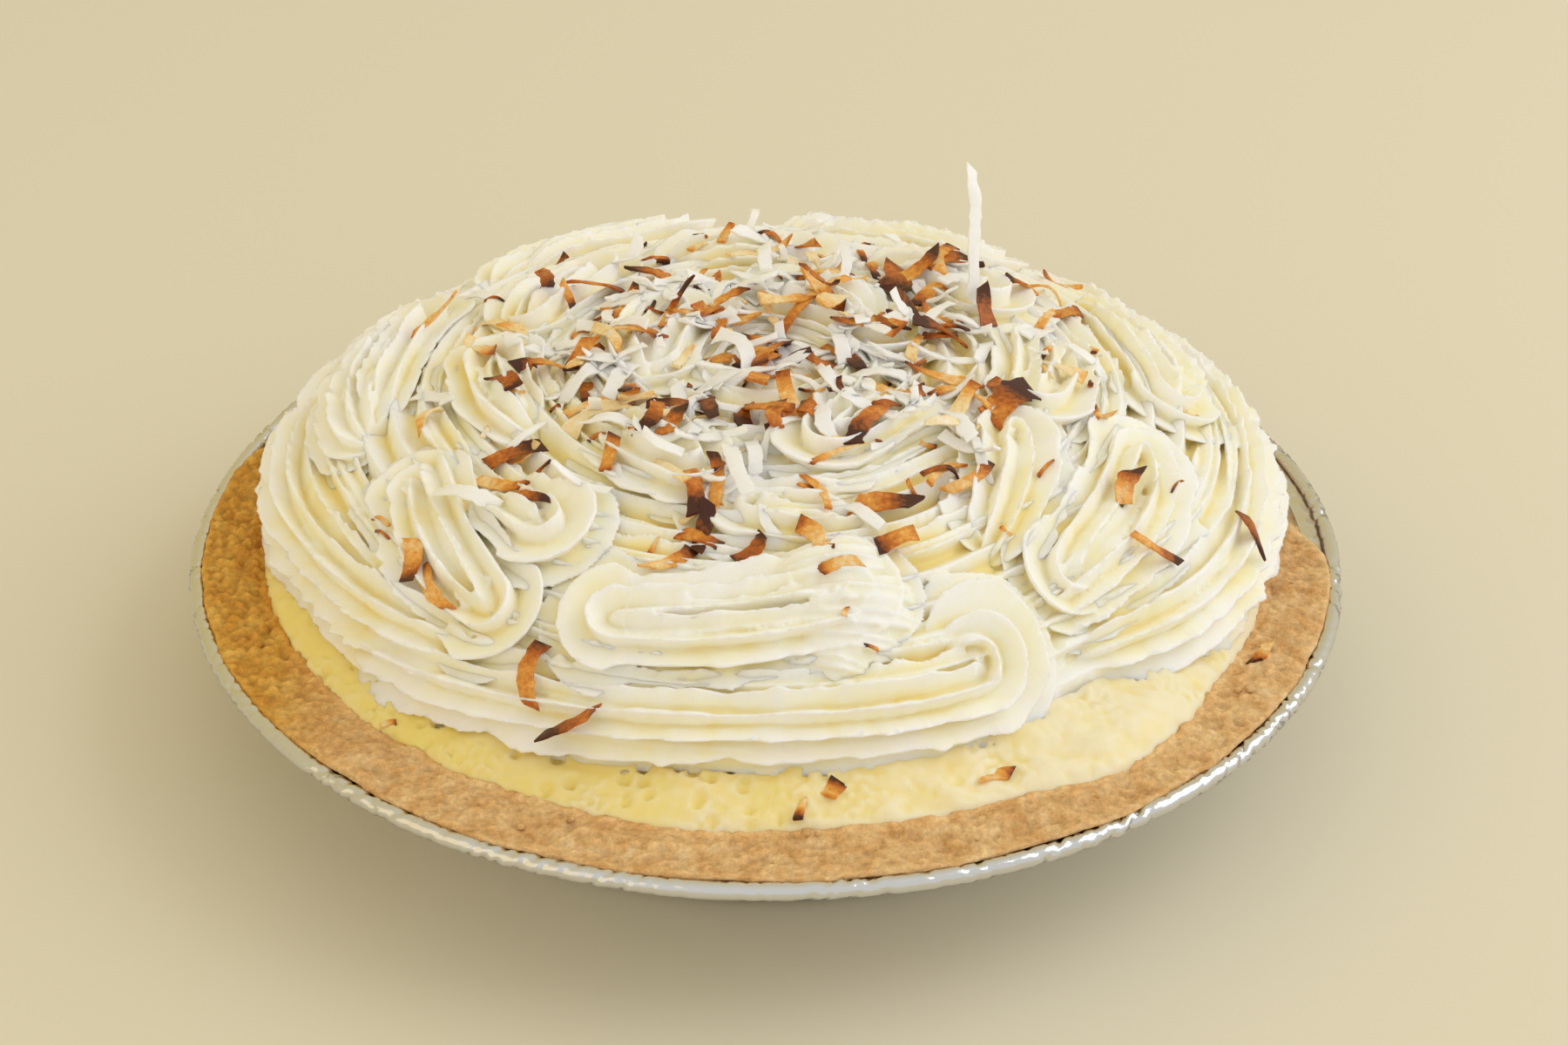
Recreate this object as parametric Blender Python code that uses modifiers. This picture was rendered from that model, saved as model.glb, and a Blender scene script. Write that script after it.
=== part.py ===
"""Coconut cream pie in its own foil pan.

A pleated foil pan holds a pastry crust with a flat, uneven rim. A pale custard fills it and
rises inside the rim. On the custard lies a dome of piped cream: a skirt of fluted ropes along
the edge, a ring of long rosettes above it, smaller swirls round the middle, and toasted and
plain coconut flakes sunk into the cream. The origin is at the middle of the pan's underside.
"""

import math
import random

import bmesh
import bpy
import numpy as np
from mathutils import Vector, noise
from mathutils.bvhtree import BVHTree

# Sizes are in millimetres and angles in degrees. Azimuth 0 is the front (-Y), 90 the right (+X).
MM = 0.001
GAP = 0.35
CREAM_GAP = 0.45

# Foil pan
RIM_RADIUS = 115.0
RIM_LEVEL = 28.5
BEAD_RADIUS = 1.8
BASE_RADIUS = 79.5
BASE_CORNER = 2.5
WALL_TOP_RADIUS = 103.0
FOIL = 0.5
FLANGE_LEVEL = RIM_LEVEL - 0.4
PLEATS = 32
PLEAT_DEPTH = 0.45

# Pastry crust
CRUST_SEGMENTS = 48
CRUST_FLOOR = 4.0
CRUST_BOTTOM = FOIL + 0.4
CRUST_OUTER_RADIUS = 110.3
CRUST_INNER_RADIUS = 99.3
CRUST_RIM_TOP = RIM_LEVEL + 2.5
CRUST_RIM_UNDER = FLANGE_LEVEL + 0.65
CRUST_NARROW_RADIUS = 103.4
CRUST_FLOOR_RADIUS = 76.0
CRUST_WALL_INNER = (96.3, 26.6)
CRUST_LIP_LEVEL = RIM_LEVEL + 0.4
# Rings over the rim's top, as shares of the way from its inner to its outer edge
RIM_SHARES = (0.0, 0.3, 0.65, 0.93)

# Custard
CUSTARD_EDGE_LEVEL = RIM_LEVEL + 1.9
CUSTARD_RISE = 11.0
CUSTARD_RINGS = (0.5, 0.78, 0.88, 0.94, 0.98, 1.0)

# Cream dome: the surface through the crests of the piped ropes
CREAM_FOOT = RIM_LEVEL + 7.0
CREAM_TOP = RIM_LEVEL + 45.0
DOME_PLAN_POWER = 2.7
DOME_HEIGHT_POWER = 1.8
# Radius of the cream's edge at some azimuths, going round once
CREAM_EDGE = (
    (-150, 106.0), (-110, 105.0), (-85, 103.0), (-65, 96.5), (-50, 97.0), (-25, 95.0),
    (0, 92.5), (20, 93.0), (34, 92.0), (44, 88.0), (54, 95.0), (70, 103.0), (95, 106.5),
    (150, 107.0),
)

# Piped rope, from a star nozzle
ROPE_HALF_WIDTH = 11.5
ROPE_HALF_DEPTH = 9.0
FLUTES = 14
FLUTE_DEPTH = 4.0
CREST_SHARPNESS = 1.8
# Share of the way from one crest to the next, outwards, in which the lip falls off
LIP_STEEPNESS = 0.34
SECTION_POINTS = 60
STATION_STEP = 3.0
END_LENGTH = 11.0
CORE_DEPTH = 3.5
CORE_SEGMENTS = 72
RIDGE_STEP = 3.3
# The cream is joined at this grain, then thinned to about so many triangles
GRAIN = 0.9
PIPED_TRIANGLES = 5350
SHORT_EDGE = 0.6
TINY_EDGE = 0.4
# The dome's skin rolled out flat: ropes are laid out on a disc of this radius
DISC_RADIUS = 112.0

# Skirt ropes along the foot of the dome: azimuth and distance on the disc at some points,
# then the radius of the curl at the end (0 for none)
SKIRTS = (
    (((-56, 108.5), (-40, 105.5), (-20, 102.0), (0, 100.5), (15, 101.0), (27, 101.0)), 7.0),
    (((43, 104.0), (55, 105.5), (70, 102.0), (90, 99.5), (120, 101.0), (150, 102.0)), 0.0),
    (((153, 102.0), (180, 102.0), (213, 102.0)), 0.0),
    (((216, 102.0), (250, 102.0), (280, 103.5), (300, 101.0), (322, 96.0)), 0.0),
)

# Ovals piped on the dome: azimuth and distance of the middle, half length, half width, slope
# away from the edge, where the piping starts and how far it goes as shares of a full turn, roll
# of the flutes, lift above the dome
OVALS = (
    (-2, 77.5, 42, 15.5, -0.15, 0.10, 1.05, 0.0, 0.8),
    (-53, 80.0, 38, 17.0, 0.30, 0.55, 1.1, 0.0, 0.0),
    (60, 79.0, 38, 17.5, -0.34, 0.45, -1.1, 0.0, 0.0),
    (110, 78.0, 37, 15.5, 0.0, -0.05, 1.05, 0.0, 0.0),
    (160, 78.0, 37, 15.5, 0.0, -0.05, 1.05, 0.0, 0.0),
    (-150, 78.0, 37, 15.5, 0.0, -0.05, 1.05, 0.0, 0.5),
    (-100, 79.0, 37, 15.5, 0.0, -0.05, 1.05, 0.0, 1.5),
    (52, 61.0, 28, 15.0, -0.75, 0.45, -1.05, 0.5, 0.5),
    (-45, 66.0, 21, 13.5, 0.10, 0.55, 1.1, 0.0, 1.0),
    (8, 52.0, 27, 15.5, 0.15, 0.0, 1.05, 0.5, -1.5),
    (95, 51.0, 27, 15.5, 0.1, 0.1, 1.05, 0.0, 0.0),
    (140, 50.0, 27, 15.5, -0.1, 0.0, 1.05, 0.0, 0.5),
    (-172, 50.0, 27, 15.5, 0.1, 0.0, 1.05, 0.0, 0.0),
    (-125, 51.0, 27, 15.5, 0.0, 0.1, 1.05, 0.0, 0.5),
    (-82, 50.0, 27, 15.5, -0.1, 0.0, 1.05, 0.0, 0.0),
    (-35, 38.0, 25, 15.0, 0.2, 0.5, 1.05, 0.5, 0.5),
    (40, 30.0, 25, 16.0, -0.2, 0.0, 1.05, 0.0, 0.5),
    (150, 24.0, 26, 17.0, 0.0, 0.3, 1.1, 0.0, 0.5),
    (-110, 22.0, 26, 17.0, 0.0, 0.0, 1.1, 0.0, 1.0),
)
# How much an oval shrinks as it winds in, how far the flutes fan out in a tight turn, and how
# round its ends are (1 for an ellipse, less for blunter ends)
WIND_IN = 0.35
FAN_OUT = 0.35
END_BLUNTNESS = 0.8
# Ropes below the others, which fill the gaps between them: distance on the disc
UNDERLAY = (90.0, 65.0, 41.0, 17.0)
UNDERLAY_LIFT = -3.0

# Torn flaps where the front oval is smeared: both ends on the disc, half width, lift
FLAPS = (
    ((0.0, -70.0), (26.0, -64.5), 6.5, 1.6), ((3.0, -74.0), (31.0, -70.5), 6.5, 0.8),
    ((2.0, -78.0), (32.0, -76.5), 6.0, 0.2), ((4.0, -82.0), (29.0, -82.0), 5.5, -0.2),
    ((6.0, -85.5), (24.0, -88.0), 5.0, -0.4),
)
FLAP_FLUTE_DEPTH = 1.3
FLAP_ROLL = 0.5

# Coconut flakes: the large ones, then a seeded scatter
# x, y, length, width, heading, lean; heading 0 lies along X, lean lifts the far end
LARGE_FLAKES = (
    (-13.6, -46.0, 11.5, 3.4, -82, 12), (-48.0, -29.7, 12.0, 3.4, 18, 8),
    (6.0, 12.0, 30.0, 2.2, 58, 14), (41.0, 26.0, 27.0, 2.6, 105, 62),
    (-11.7, 12.0, 13.0, 3.2, -76, 10), (14.0, 2.0, 12.5, 3.2, -55, 8),
    (25.0, 31.0, 12.0, 7.0, 80, 25), (43.5, 19.0, 11.0, 3.6, 100, 30),
    (60.0, 33.0, 10.0, 4.0, 40, 12), (45.5, -17.0, 13.0, 6.5, 55, 15),
    (20.6, -46.3, 12.0, 4.0, 5, 12), (-3.5, -60.0, 9.0, 3.6, 60, 20),
    (8.0, -57.0, 9.0, 3.6, -60, 8), (23.0, -58.0, 8.5, 4.0, 35, 10),
    (12.9, -66.0, 8.0, 3.4, 20, 6), (-51.5, -8.6, 9.0, 3.6, -50, 12),
    (-65.5, -52.0, 9.0, 4.0, 70, 10), (-60.5, -56.5, 14.0, 3.2, -68, 10),
    (-44.0, -45.0, 9.0, 2.6, -25, 14), (-40.5, -79.0, 13.5, 3.2, 72, 8),
    (-34.5, -85.0, 10.0, 3.6, 8, 4), (68.0, -34.5, 9.0, 4.2, 80, 18),
    (72.0, -43.0, 10.0, 1.8, -8, 12), (93.5, -26.0, 9.5, 3.0, -62, 14),
    (37.0, -38.5, 11.5, 2.8, 48, 8), (-19.7, -21.5, 8.0, 4.2, -10, 12),
    (-18.5, -29.5, 8.0, 3.4, 65, 14), (-60.0, 40.0, 12.0, 3.6, -40, 12),
    (18.0, -30.5, 12.5, 3.6, 68, 16), (-45.5, 29.5, 11.0, 3.2, -80, 48),
)
SCATTERED_FLAKES = 56
FLAKE_MEAN_RADIUS = 34.0
FLAKE_SPREAD = 15.0
FLAKE_THICKNESS = 0.9
FLAKE_SINK = 0.7
FLAKE_SEED = 11


def direction(azimuth):
    """Unit vector in plan for an azimuth in degrees, 0 at the front."""
    angle = math.radians(azimuth)
    return Vector((math.sin(angle), -math.cos(angle), 0.0))


def wobble(*coordinates):
    """Smooth noise between -1 and 1, the same at each run."""
    return noise.noise(Vector(coordinates))


def hump(azimuth, centre, half_width):
    """One at the centre azimuth, falling to nothing a little past the half width."""
    offset = (azimuth - centre + 180.0) % 360.0 - 180.0
    return math.exp(-((offset / half_width) ** 4))


def crust_inner_radius(azimuth):
    """Where custard and crust meet: wider at the lip of custard on the right front."""
    lip = 3.2 * hump(azimuth, 42.0, 12.0)
    curl = -1.2 * hump(azimuth, -40.0, 4.0)
    around = direction(azimuth) * 3.0
    return CRUST_INNER_RADIUS + lip + curl + 0.9 * wobble(around.x, around.y, 4.0)


def crust_outer_radius(azimuth):
    """The rim's outer edge, broken away on the left and on the right behind."""
    broken = max(hump(azimuth, -117.0, 10.0), hump(azimuth, 99.0, 11.0))
    around = direction(azimuth) * 6.0
    edge = CRUST_OUTER_RADIUS + 0.55 * wobble(around.x, around.y, 1.0)
    return edge + (CRUST_NARROW_RADIUS - edge) * broken


def crust_rim_level(azimuth, share):
    """Top of the crust's rim, share 0 at its inner edge and 1 at its outer edge."""
    around = direction(azimuth) * (5.0 + 2.0 * share)
    fall = 1.3 * share ** 3
    return CRUST_RIM_TOP - fall + 0.45 * wobble(around.x, around.y, 7.0)


def custard_level(share, azimuth):
    """Top of the custard at a share of the radius of its edge."""
    share = min(share, 1.0)
    rise = CUSTARD_RISE * (1.0 - share ** 4) ** (1.0 / 1.5)
    around = direction(azimuth) * (8.0 * share)
    ripple = 0.8 * wobble(around.x, around.y, 2.0) * min(1.0, rise / 3.0)
    dent = -1.6 * hump(azimuth, 31.0, 5.0) * math.exp(-((share - 0.93) / 0.03) ** 2)
    swell = 0.9 * hump(azimuth, 42.0, 9.0) * math.exp(-((share - 0.96) / 0.04) ** 2)
    return CUSTARD_EDGE_LEVEL + rise + ripple + dent + swell


def new_collection(name):
    collection = bpy.data.collections.new(name)
    bpy.context.scene.collection.children.link(collection)
    return collection


def new_material(name, colour, roughness, metallic=0.0):
    """Principled material from an sRGB colour given as three values from 0 to 255."""
    material = bpy.data.materials.new(name)
    material.use_nodes = True
    shader = material.node_tree.nodes["Principled BSDF"]
    linear = [(value / 255.0) ** 2.2 for value in colour]
    shader.inputs["Base Color"].default_value = (*linear, 1.0)
    shader.inputs["Roughness"].default_value = roughness
    shader.inputs["Metallic"].default_value = metallic
    material.diffuse_color = (*linear, 1.0)
    return material


def new_object(name, mesh, collection, material=None):
    piece = bpy.data.objects.new(name, mesh)
    collection.objects.link(piece)
    if material:
        mesh.materials.append(material)
    return piece


def hide_tool(piece):
    """Marks a cutter, which is not part of the pie."""
    piece.hide_render = True
    piece.display_type = "WIRE"


def applied(piece):
    """Gives the object its evaluated mesh and drops its modifiers."""
    graph = bpy.context.evaluated_depsgraph_get()
    graph.update()
    mesh = bpy.data.meshes.new_from_object(piece.evaluated_get(graph))
    piece.modifiers.clear()
    old = piece.data
    piece.data = mesh
    bpy.data.meshes.remove(old)
    return piece


def turned(name, profile, segments, collection, material=None):
    """Turns a profile of (radius, level) points round the Z axis into a closed mesh."""
    mesh = bpy.data.meshes.new(name)
    points = [(radius * MM, 0.0, level * MM) for radius, level in profile]
    mesh.from_pydata(points, [(index, index + 1) for index in range(len(points) - 1)], [])
    piece = new_object(name, mesh, collection, material)
    screw = piece.modifiers.new("Turn", "SCREW")
    screw.axis = "Z"
    screw.angle = math.tau
    screw.steps = segments
    screw.render_steps = segments
    screw.use_merge_vertices = True
    screw.merge_threshold = 0.00001
    screw.use_smooth_shade = False
    triangles = piece.modifiers.new("Triangles", "TRIANGULATE")
    triangles.quad_method = "FIXED"
    return applied(piece)


def azimuth_of(point):
    return math.degrees(math.atan2(point.x, -point.y))


def make_pan(collection):
    """Foil pan: flat base, pleated sloping wall, flange and rolled bead."""
    bead_centre = RIM_RADIUS - BEAD_RADIUS
    neck = bead_centre - BEAD_RADIUS * 0.97
    bead = []
    for step in range(5):
        angle = math.radians(170.0 - 340.0 * step / 4.0)
        bead.append((bead_centre + BEAD_RADIUS * math.cos(angle),
                     RIM_LEVEL + BEAD_RADIUS * math.sin(angle)))
    wall_top = FLANGE_LEVEL - FOIL - 0.5
    profile = [
        (0.0, FOIL),
        (BASE_RADIUS - 0.3, FOIL),
        (BASE_RADIUS + BASE_CORNER - 0.5, 1.2 + FOIL),
        (WALL_TOP_RADIUS - 0.55, wall_top),
        (WALL_TOP_RADIUS + 0.2, FLANGE_LEVEL),
        (neck - 0.3, FLANGE_LEVEL),
        *bead,
        (neck - 0.2, FLANGE_LEVEL - FOIL),
        (WALL_TOP_RADIUS + 0.7, FLANGE_LEVEL - FOIL),
        (WALL_TOP_RADIUS, wall_top - 0.3),
        (BASE_RADIUS + BASE_CORNER, 1.2),
        (BASE_RADIUS, 0.0),
        (0.0, 0.0),
    ]
    foil = new_material("bright_aluminium_foil", (205, 206, 208), 0.28, 1.0)
    pan = turned("foil_pan", profile, 2 * PLEATS, collection, foil)
    for vertex in pan.data.vertices:
        level = vertex.co.z / MM
        radius = math.hypot(vertex.co.x, vertex.co.y) / MM
        if radius < BASE_RADIUS + 1.0 or level > FLANGE_LEVEL - FOIL - 0.2:
            continue
        step = round(azimuth_of(vertex.co) / 360.0 * 2 * PLEATS)
        shift = PLEAT_DEPTH * (1.0 if step % 2 else -1.0)
        factor = (radius + shift) / radius
        vertex.co.x *= factor
        vertex.co.y *= factor
    return pan


def shape_round(piece, place):
    """Moves each vertex of a turned mesh to place(radius, level, azimuth), in millimetres."""
    for vertex in piece.data.vertices:
        radius = math.hypot(vertex.co.x, vertex.co.y) / MM
        if radius < 1.0:
            continue
        azimuth = azimuth_of(vertex.co)
        new_radius, new_level = place(radius, vertex.co.z / MM, azimuth)
        vertex.co = direction(azimuth) * (new_radius * MM)
        vertex.co.z = new_level * MM


def make_crust(collection):
    """Pastry shell that lines the pan, with a flat rim lying over the flange."""
    wall_radius, wall_level = CRUST_WALL_INNER
    inner = CRUST_INNER_RADIUS
    outer = CRUST_OUTER_RADIUS
    floor = CRUST_BOTTOM + CRUST_FLOOR
    # The points of the rim's top are marked by a level above it, until they are placed
    rim_top = [(inner + share * (outer - inner), CRUST_RIM_TOP + 1.0) for share in RIM_SHARES]
    profile = [
        (0.0, floor),
        (CRUST_FLOOR_RADIUS, floor),
        (wall_radius, wall_level),
        (inner, CRUST_LIP_LEVEL),
        *rim_top,
        (outer, CRUST_RIM_UNDER + 0.8),
        (outer - 0.6, CRUST_RIM_UNDER),
        (WALL_TOP_RADIUS - 0.9, CRUST_RIM_UNDER),
        (WALL_TOP_RADIUS - 1.9, FLANGE_LEVEL - FOIL - 1.6),
        (BASE_RADIUS + BASE_CORNER - 1.9, 2.2),
        (BASE_RADIUS - 1.6, CRUST_BOTTOM),
        (0.0, CRUST_BOTTOM),
    ]
    baked = new_material("baked_shortcrust_pastry", (205, 155, 98), 0.75)
    crust = turned("crust", profile, CRUST_SEGMENTS, collection, baked)

    def place(radius, level, azimuth):
        inner_edge = crust_inner_radius(azimuth)
        outer_edge = crust_outer_radius(azimuth)
        if level > CRUST_RIM_TOP + 0.5:
            share = (radius - inner) / (outer - inner)
            new_radius = inner_edge + share * (outer_edge - inner_edge)
            return new_radius, crust_rim_level(azimuth, share)
        if radius > outer - 1.0:
            return radius + outer_edge - outer, level
        if abs(level - CRUST_LIP_LEVEL) < 0.01:
            return inner_edge, level
        return radius, level

    shape_round(crust, place)
    return crust


def make_custard(collection):
    """Custard that fills the crust and rises towards the cream."""
    wall_radius, wall_level = CRUST_WALL_INNER
    floor = CRUST_BOTTOM + CRUST_FLOOR + GAP
    edge = CRUST_INNER_RADIUS
    top = [(share * edge, CUSTARD_EDGE_LEVEL + 20.0) for share in CUSTARD_RINGS]
    profile = [
        (0.0, CUSTARD_EDGE_LEVEL + CUSTARD_RISE),
        *top,
        (edge, CUSTARD_EDGE_LEVEL - GAP),
        (wall_radius - GAP, wall_level + GAP),
        (CRUST_FLOOR_RADIUS - GAP, floor),
        (0.0, floor),
    ]
    cooked = new_material("cooked_vanilla_custard", (240, 222, 138), 0.4)
    custard = turned("custard", profile, CRUST_SEGMENTS, collection, cooked)

    def place(radius, level, azimuth):
        if radius < edge - 0.01 and level < CUSTARD_EDGE_LEVEL + 15.0:
            return radius, level
        share = radius / edge
        new_level = level if level < CUSTARD_EDGE_LEVEL else custard_level(share, azimuth)
        return share * (crust_inner_radius(azimuth) - GAP - 0.1), new_level

    shape_round(custard, place)
    return custard


def make_clearance(collection):
    """Cutter up to just above custard and crust, so that the cream rests clear of both."""
    inner = CRUST_INNER_RADIUS
    outer = CRUST_OUTER_RADIUS
    side = RIM_RADIUS + 6.0
    below = -5.0
    # Levels that mark which surface a point follows, until it is placed
    on_custard = 100.0
    on_crust = 200.0
    custard_rings = [(share * inner, on_custard) for share in CUSTARD_RINGS[:-1]]
    rim_rings = [(inner + share * (outer - inner), on_crust) for share in RIM_SHARES]
    profile = [
        (0.0, CUSTARD_EDGE_LEVEL + CUSTARD_RISE + CREAM_GAP),
        *custard_rings,
        *rim_rings,
        (side, CRUST_RIM_TOP + 0.2),
        (side, below),
        (0.0, below),
    ]
    cutter = turned("cream_clearance", profile, CRUST_SEGMENTS, collection)

    def place(radius, level, azimuth):
        inner_edge = crust_inner_radius(azimuth)
        if round(level) == on_crust:
            share = (radius - inner) / (outer - inner)
            new_radius = inner_edge + share * (crust_outer_radius(azimuth) - inner_edge)
            return new_radius, crust_rim_level(azimuth, share) + CREAM_GAP
        if round(level) == on_custard:
            share = radius / inner
            return share * (inner_edge - GAP - 0.1), custard_level(share, azimuth) + CREAM_GAP
        return radius, level

    shape_round(cutter, place)
    hide_tool(cutter)
    return cutter


def cream_edge_radius(azimuth):
    """Edge of the cream at azimuths in degrees, smooth all the way round."""
    knots = np.array([row[0] for row in CREAM_EDGE], float)
    radii = np.array([row[1] for row in CREAM_EDGE], float)
    spread = np.arange(-9.0, 9.5, 3.0)
    around = (np.asarray(azimuth, float)[..., None] + spread + 180.0) % 360.0 - 180.0
    return np.interp(around, knots, radii, period=360.0).mean(axis=-1)


def on_dome(points):
    """Places and normals on the dome, in millimetres, for points (n, 2) of the flat disc."""
    points = np.asarray(points, float)
    distance = np.hypot(points[:, 0], points[:, 1])
    azimuth = np.degrees(np.arctan2(points[:, 0], -points[:, 1]))
    edge = cream_edge_radius(azimuth)
    height = CREAM_TOP - CREAM_FOOT
    swing = np.linspace(0.0, math.pi / 2.0, 90)
    unit_radius = np.sin(swing) ** (2.0 / DOME_PLAN_POWER)
    unit_level = np.cos(swing) ** (2.0 / DOME_HEIGHT_POWER)
    radius = np.empty(len(points))
    level = np.empty(len(points))
    for index, reach in enumerate(edge):
        arc_radius = unit_radius * reach
        arc_level = unit_level * height
        steps = np.hypot(np.diff(arc_radius), np.diff(arc_level))
        arc = np.concatenate(([0.0], np.cumsum(steps)))
        along = distance[index] / DISC_RADIUS * arc[-1]
        radius[index] = np.interp(along, arc, arc_radius)
        level[index] = np.interp(along, arc, arc_level)
    slope = (radius / edge) ** (DOME_PLAN_POWER - 1.0) * DOME_PLAN_POWER / edge
    rise = (level / height) ** (DOME_HEIGHT_POWER - 1.0) * DOME_HEIGHT_POWER / height
    size = np.hypot(slope, rise)
    outward = np.stack([np.sin(np.radians(azimuth)), -np.cos(np.radians(azimuth))], axis=1)
    places = np.column_stack([outward * radius[:, None], level + CREAM_FOOT])
    normals = np.column_stack([outward * (slope / size)[:, None], rise / size])
    return places, normals


def spaced(points, step):
    """The same path with stations at even steps along it."""
    points = np.asarray(points, float)
    steps = np.linalg.norm(np.diff(points, axis=0), axis=1)
    arc = np.concatenate(([0.0], np.cumsum(steps)))
    stations = np.linspace(0.0, arc[-1], max(6, round(arc[-1] / step) + 1))
    return np.column_stack([np.interp(stations, arc, points[:, axis]) for axis in (0, 1)])


def skirt_path(knots, curl):
    """A rope along the foot of the dome, which may curl back up at its end."""
    azimuths, distances = zip(*knots)
    path = []
    for azimuth in np.linspace(azimuths[0], azimuths[-1], 60):
        near = azimuth + np.arange(-8.0, 9.0, 4.0)
        path.append(direction(azimuth) * float(np.interp(near, azimuths, distances).mean()))
    if curl:
        outward = direction(azimuths[-1])
        forward = direction(azimuths[-1] + 90.0)
        centre = path[-1] - outward * curl
        for turn in np.linspace(0.0, math.radians(235.0), 24)[1:]:
            path.append(centre + curl * (outward * math.cos(turn) + forward * math.sin(turn)))
    return [(point.x, point.y) for point in path]


def rounded(value):
    """Turns the sides of an ellipse straighter and its ends blunter."""
    return math.copysign(abs(value) ** END_BLUNTNESS, value)


def oval_path(azimuth, distance, half_length, half_width, slope, start, turns):
    """A long oval that winds inwards and bends along the dome's edge."""
    length = half_length - ROPE_HALF_WIDTH
    width = half_width - ROPE_HALF_WIDTH
    path = []
    for share in np.linspace(0.0, 1.0, 140):
        turn = math.tau * (start + turns * share)
        left = 1.0 - WIND_IN * share
        along = length * left * rounded(math.cos(turn))
        across = width * left * rounded(math.sin(turn))
        reach = distance + across + slope * along
        point = direction(azimuth + math.degrees(along / distance)) * reach
        path.append((point.x, point.y))
    return path


def flute_section(roll):
    """Cross-section of a rope at unit size, and how deep its channels are at each point.

    Each crest rises outwards to a lip and falls off steeply beyond it.
    """
    turn = np.arange(SECTION_POINTS) * math.tau / SECTION_POINTS
    outward = np.where(np.cos(turn) > 0.0, -1.0, 1.0)
    past = ((turn * FLUTES / math.tau + roll) * outward) % 1.0
    falling = 1.0 - past / LIP_STEEPNESS
    rising = 1.0 - (1.0 - past) / (1.0 - LIP_STEEPNESS)
    channel = 1.0 - np.maximum(falling, rising) ** CREST_SHARPNESS
    return np.cos(turn), np.sin(turn), channel


def rope_rings(path, lift, seed, roll=0.0, flute_depth=FLUTE_DEPTH, half_width=ROPE_HALF_WIDTH):
    """Rings of points for one rope that follows a path on the rolled-out disc."""
    flat = spaced(path, STATION_STEP)
    places, normals = on_dome(flat)
    centres = places - normals * (ROPE_HALF_DEPTH - lift)
    tangents = np.gradient(centres, axis=0)
    paces = np.linalg.norm(tangents, axis=1)
    tangents /= paces[:, None]
    sides = np.cross(tangents, normals)
    sides /= np.linalg.norm(sides, axis=1)[:, None]
    ups = np.cross(sides, tangents)
    bends = np.einsum("ij,ij->i", np.gradient(tangents, axis=0), sides) / paces
    arc = np.concatenate(([0.0], np.cumsum(paces[1:])))
    across, upward, channel = flute_section(roll)
    rings = []
    for index, bend in enumerate(bends):
        from_end = min(arc[index], arc[-1] - arc[index]) / END_LENGTH
        taper = math.sqrt(max(0.05, 1.0 - max(0.0, 1.0 - from_end) ** 2.2))
        size = taper * (1.0 + 0.07 * wobble(arc[index] / 14.0, seed, 5.0))
        width = across * (half_width * size - flute_depth * taper * channel)
        height = upward * (ROPE_HALF_DEPTH * size - flute_depth * taper * channel)
        room = 0.85 / max(abs(bend), 1e-4)
        fan = 1.0 + FAN_OUT * min(1.0, 6.0 * abs(bend))
        inner = width * bend > 0.0
        width = np.where(inner, np.clip(width, -room, room), width * fan)
        rings.append(centres[index] + np.outer(width, sides[index]) + np.outer(height, ups[index]))
    return rings


def loft(builder, rings):
    """Adds a closed skin through rings that have the same number of points."""
    rows = [[builder.verts.new(Vector(point) * MM) for point in ring] for ring in rings]
    faces = [builder.faces.new(rows[0][::-1]), builder.faces.new(rows[-1])]
    for row, following in zip(rows, rows[1:]):
        for index, corner in enumerate(row):
            after = (index + 1) % len(row)
            faces.append(builder.faces.new((corner, row[after], following[after], following[index])))
    bmesh.ops.recalc_face_normals(builder, faces=faces)


def make_core(collection, material):
    """Dome inside the ropes, with ridges round it that fill the gaps between them."""
    profile = []
    count = round(DISC_RADIUS * 0.95 / RIDGE_STEP)
    for step in range(count + 1):
        places, normals = on_dome([(0.0, -step * RIDGE_STEP)])
        depth = CORE_DEPTH + (FLUTE_DEPTH if step % 2 else 0.0)
        point = places[0] - normals[0] * depth
        profile.append((max(0.0, -point[1]), point[2]))
    foot_radius = profile[-1][0]
    profile[0] = (0.0, profile[0][1])
    profile += [(foot_radius, RIM_LEVEL), (0.0, RIM_LEVEL)]
    core = turned("whipped_cream", profile, CORE_SEGMENTS, collection, material)
    front_reach = float(cream_edge_radius(0.0))
    for vertex in core.data.vertices:
        reach = float(cream_edge_radius(azimuth_of(vertex.co)))
        vertex.co.x *= reach / front_reach
        vertex.co.y *= reach / front_reach
    return core


def flake_rings(length, width, curve, twist):
    """Rings of a thin curved strip with tapered ends, lying along X."""
    rings = []
    for share, breadth in ((-0.5, 0.6), (0.05, 1.0), (0.5, 0.5)):
        along = share * length
        rise = -curve * length * (share * share * 4.0 - 0.35)
        half = 0.5 * width * breadth
        thick = 0.5 * FLAKE_THICKNESS
        roll = twist * share
        side = np.array([0.0, math.cos(roll), math.sin(roll)])
        up = np.array([0.0, -math.sin(roll), math.cos(roll)])
        centre = np.array([along, 0.0, rise])
        rings.append(np.array([
            centre - side * half - up * thick,
            centre + side * half - up * thick,
            centre + side * half + up * thick,
            centre - side * half + up * thick,
        ]))
    return rings


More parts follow.
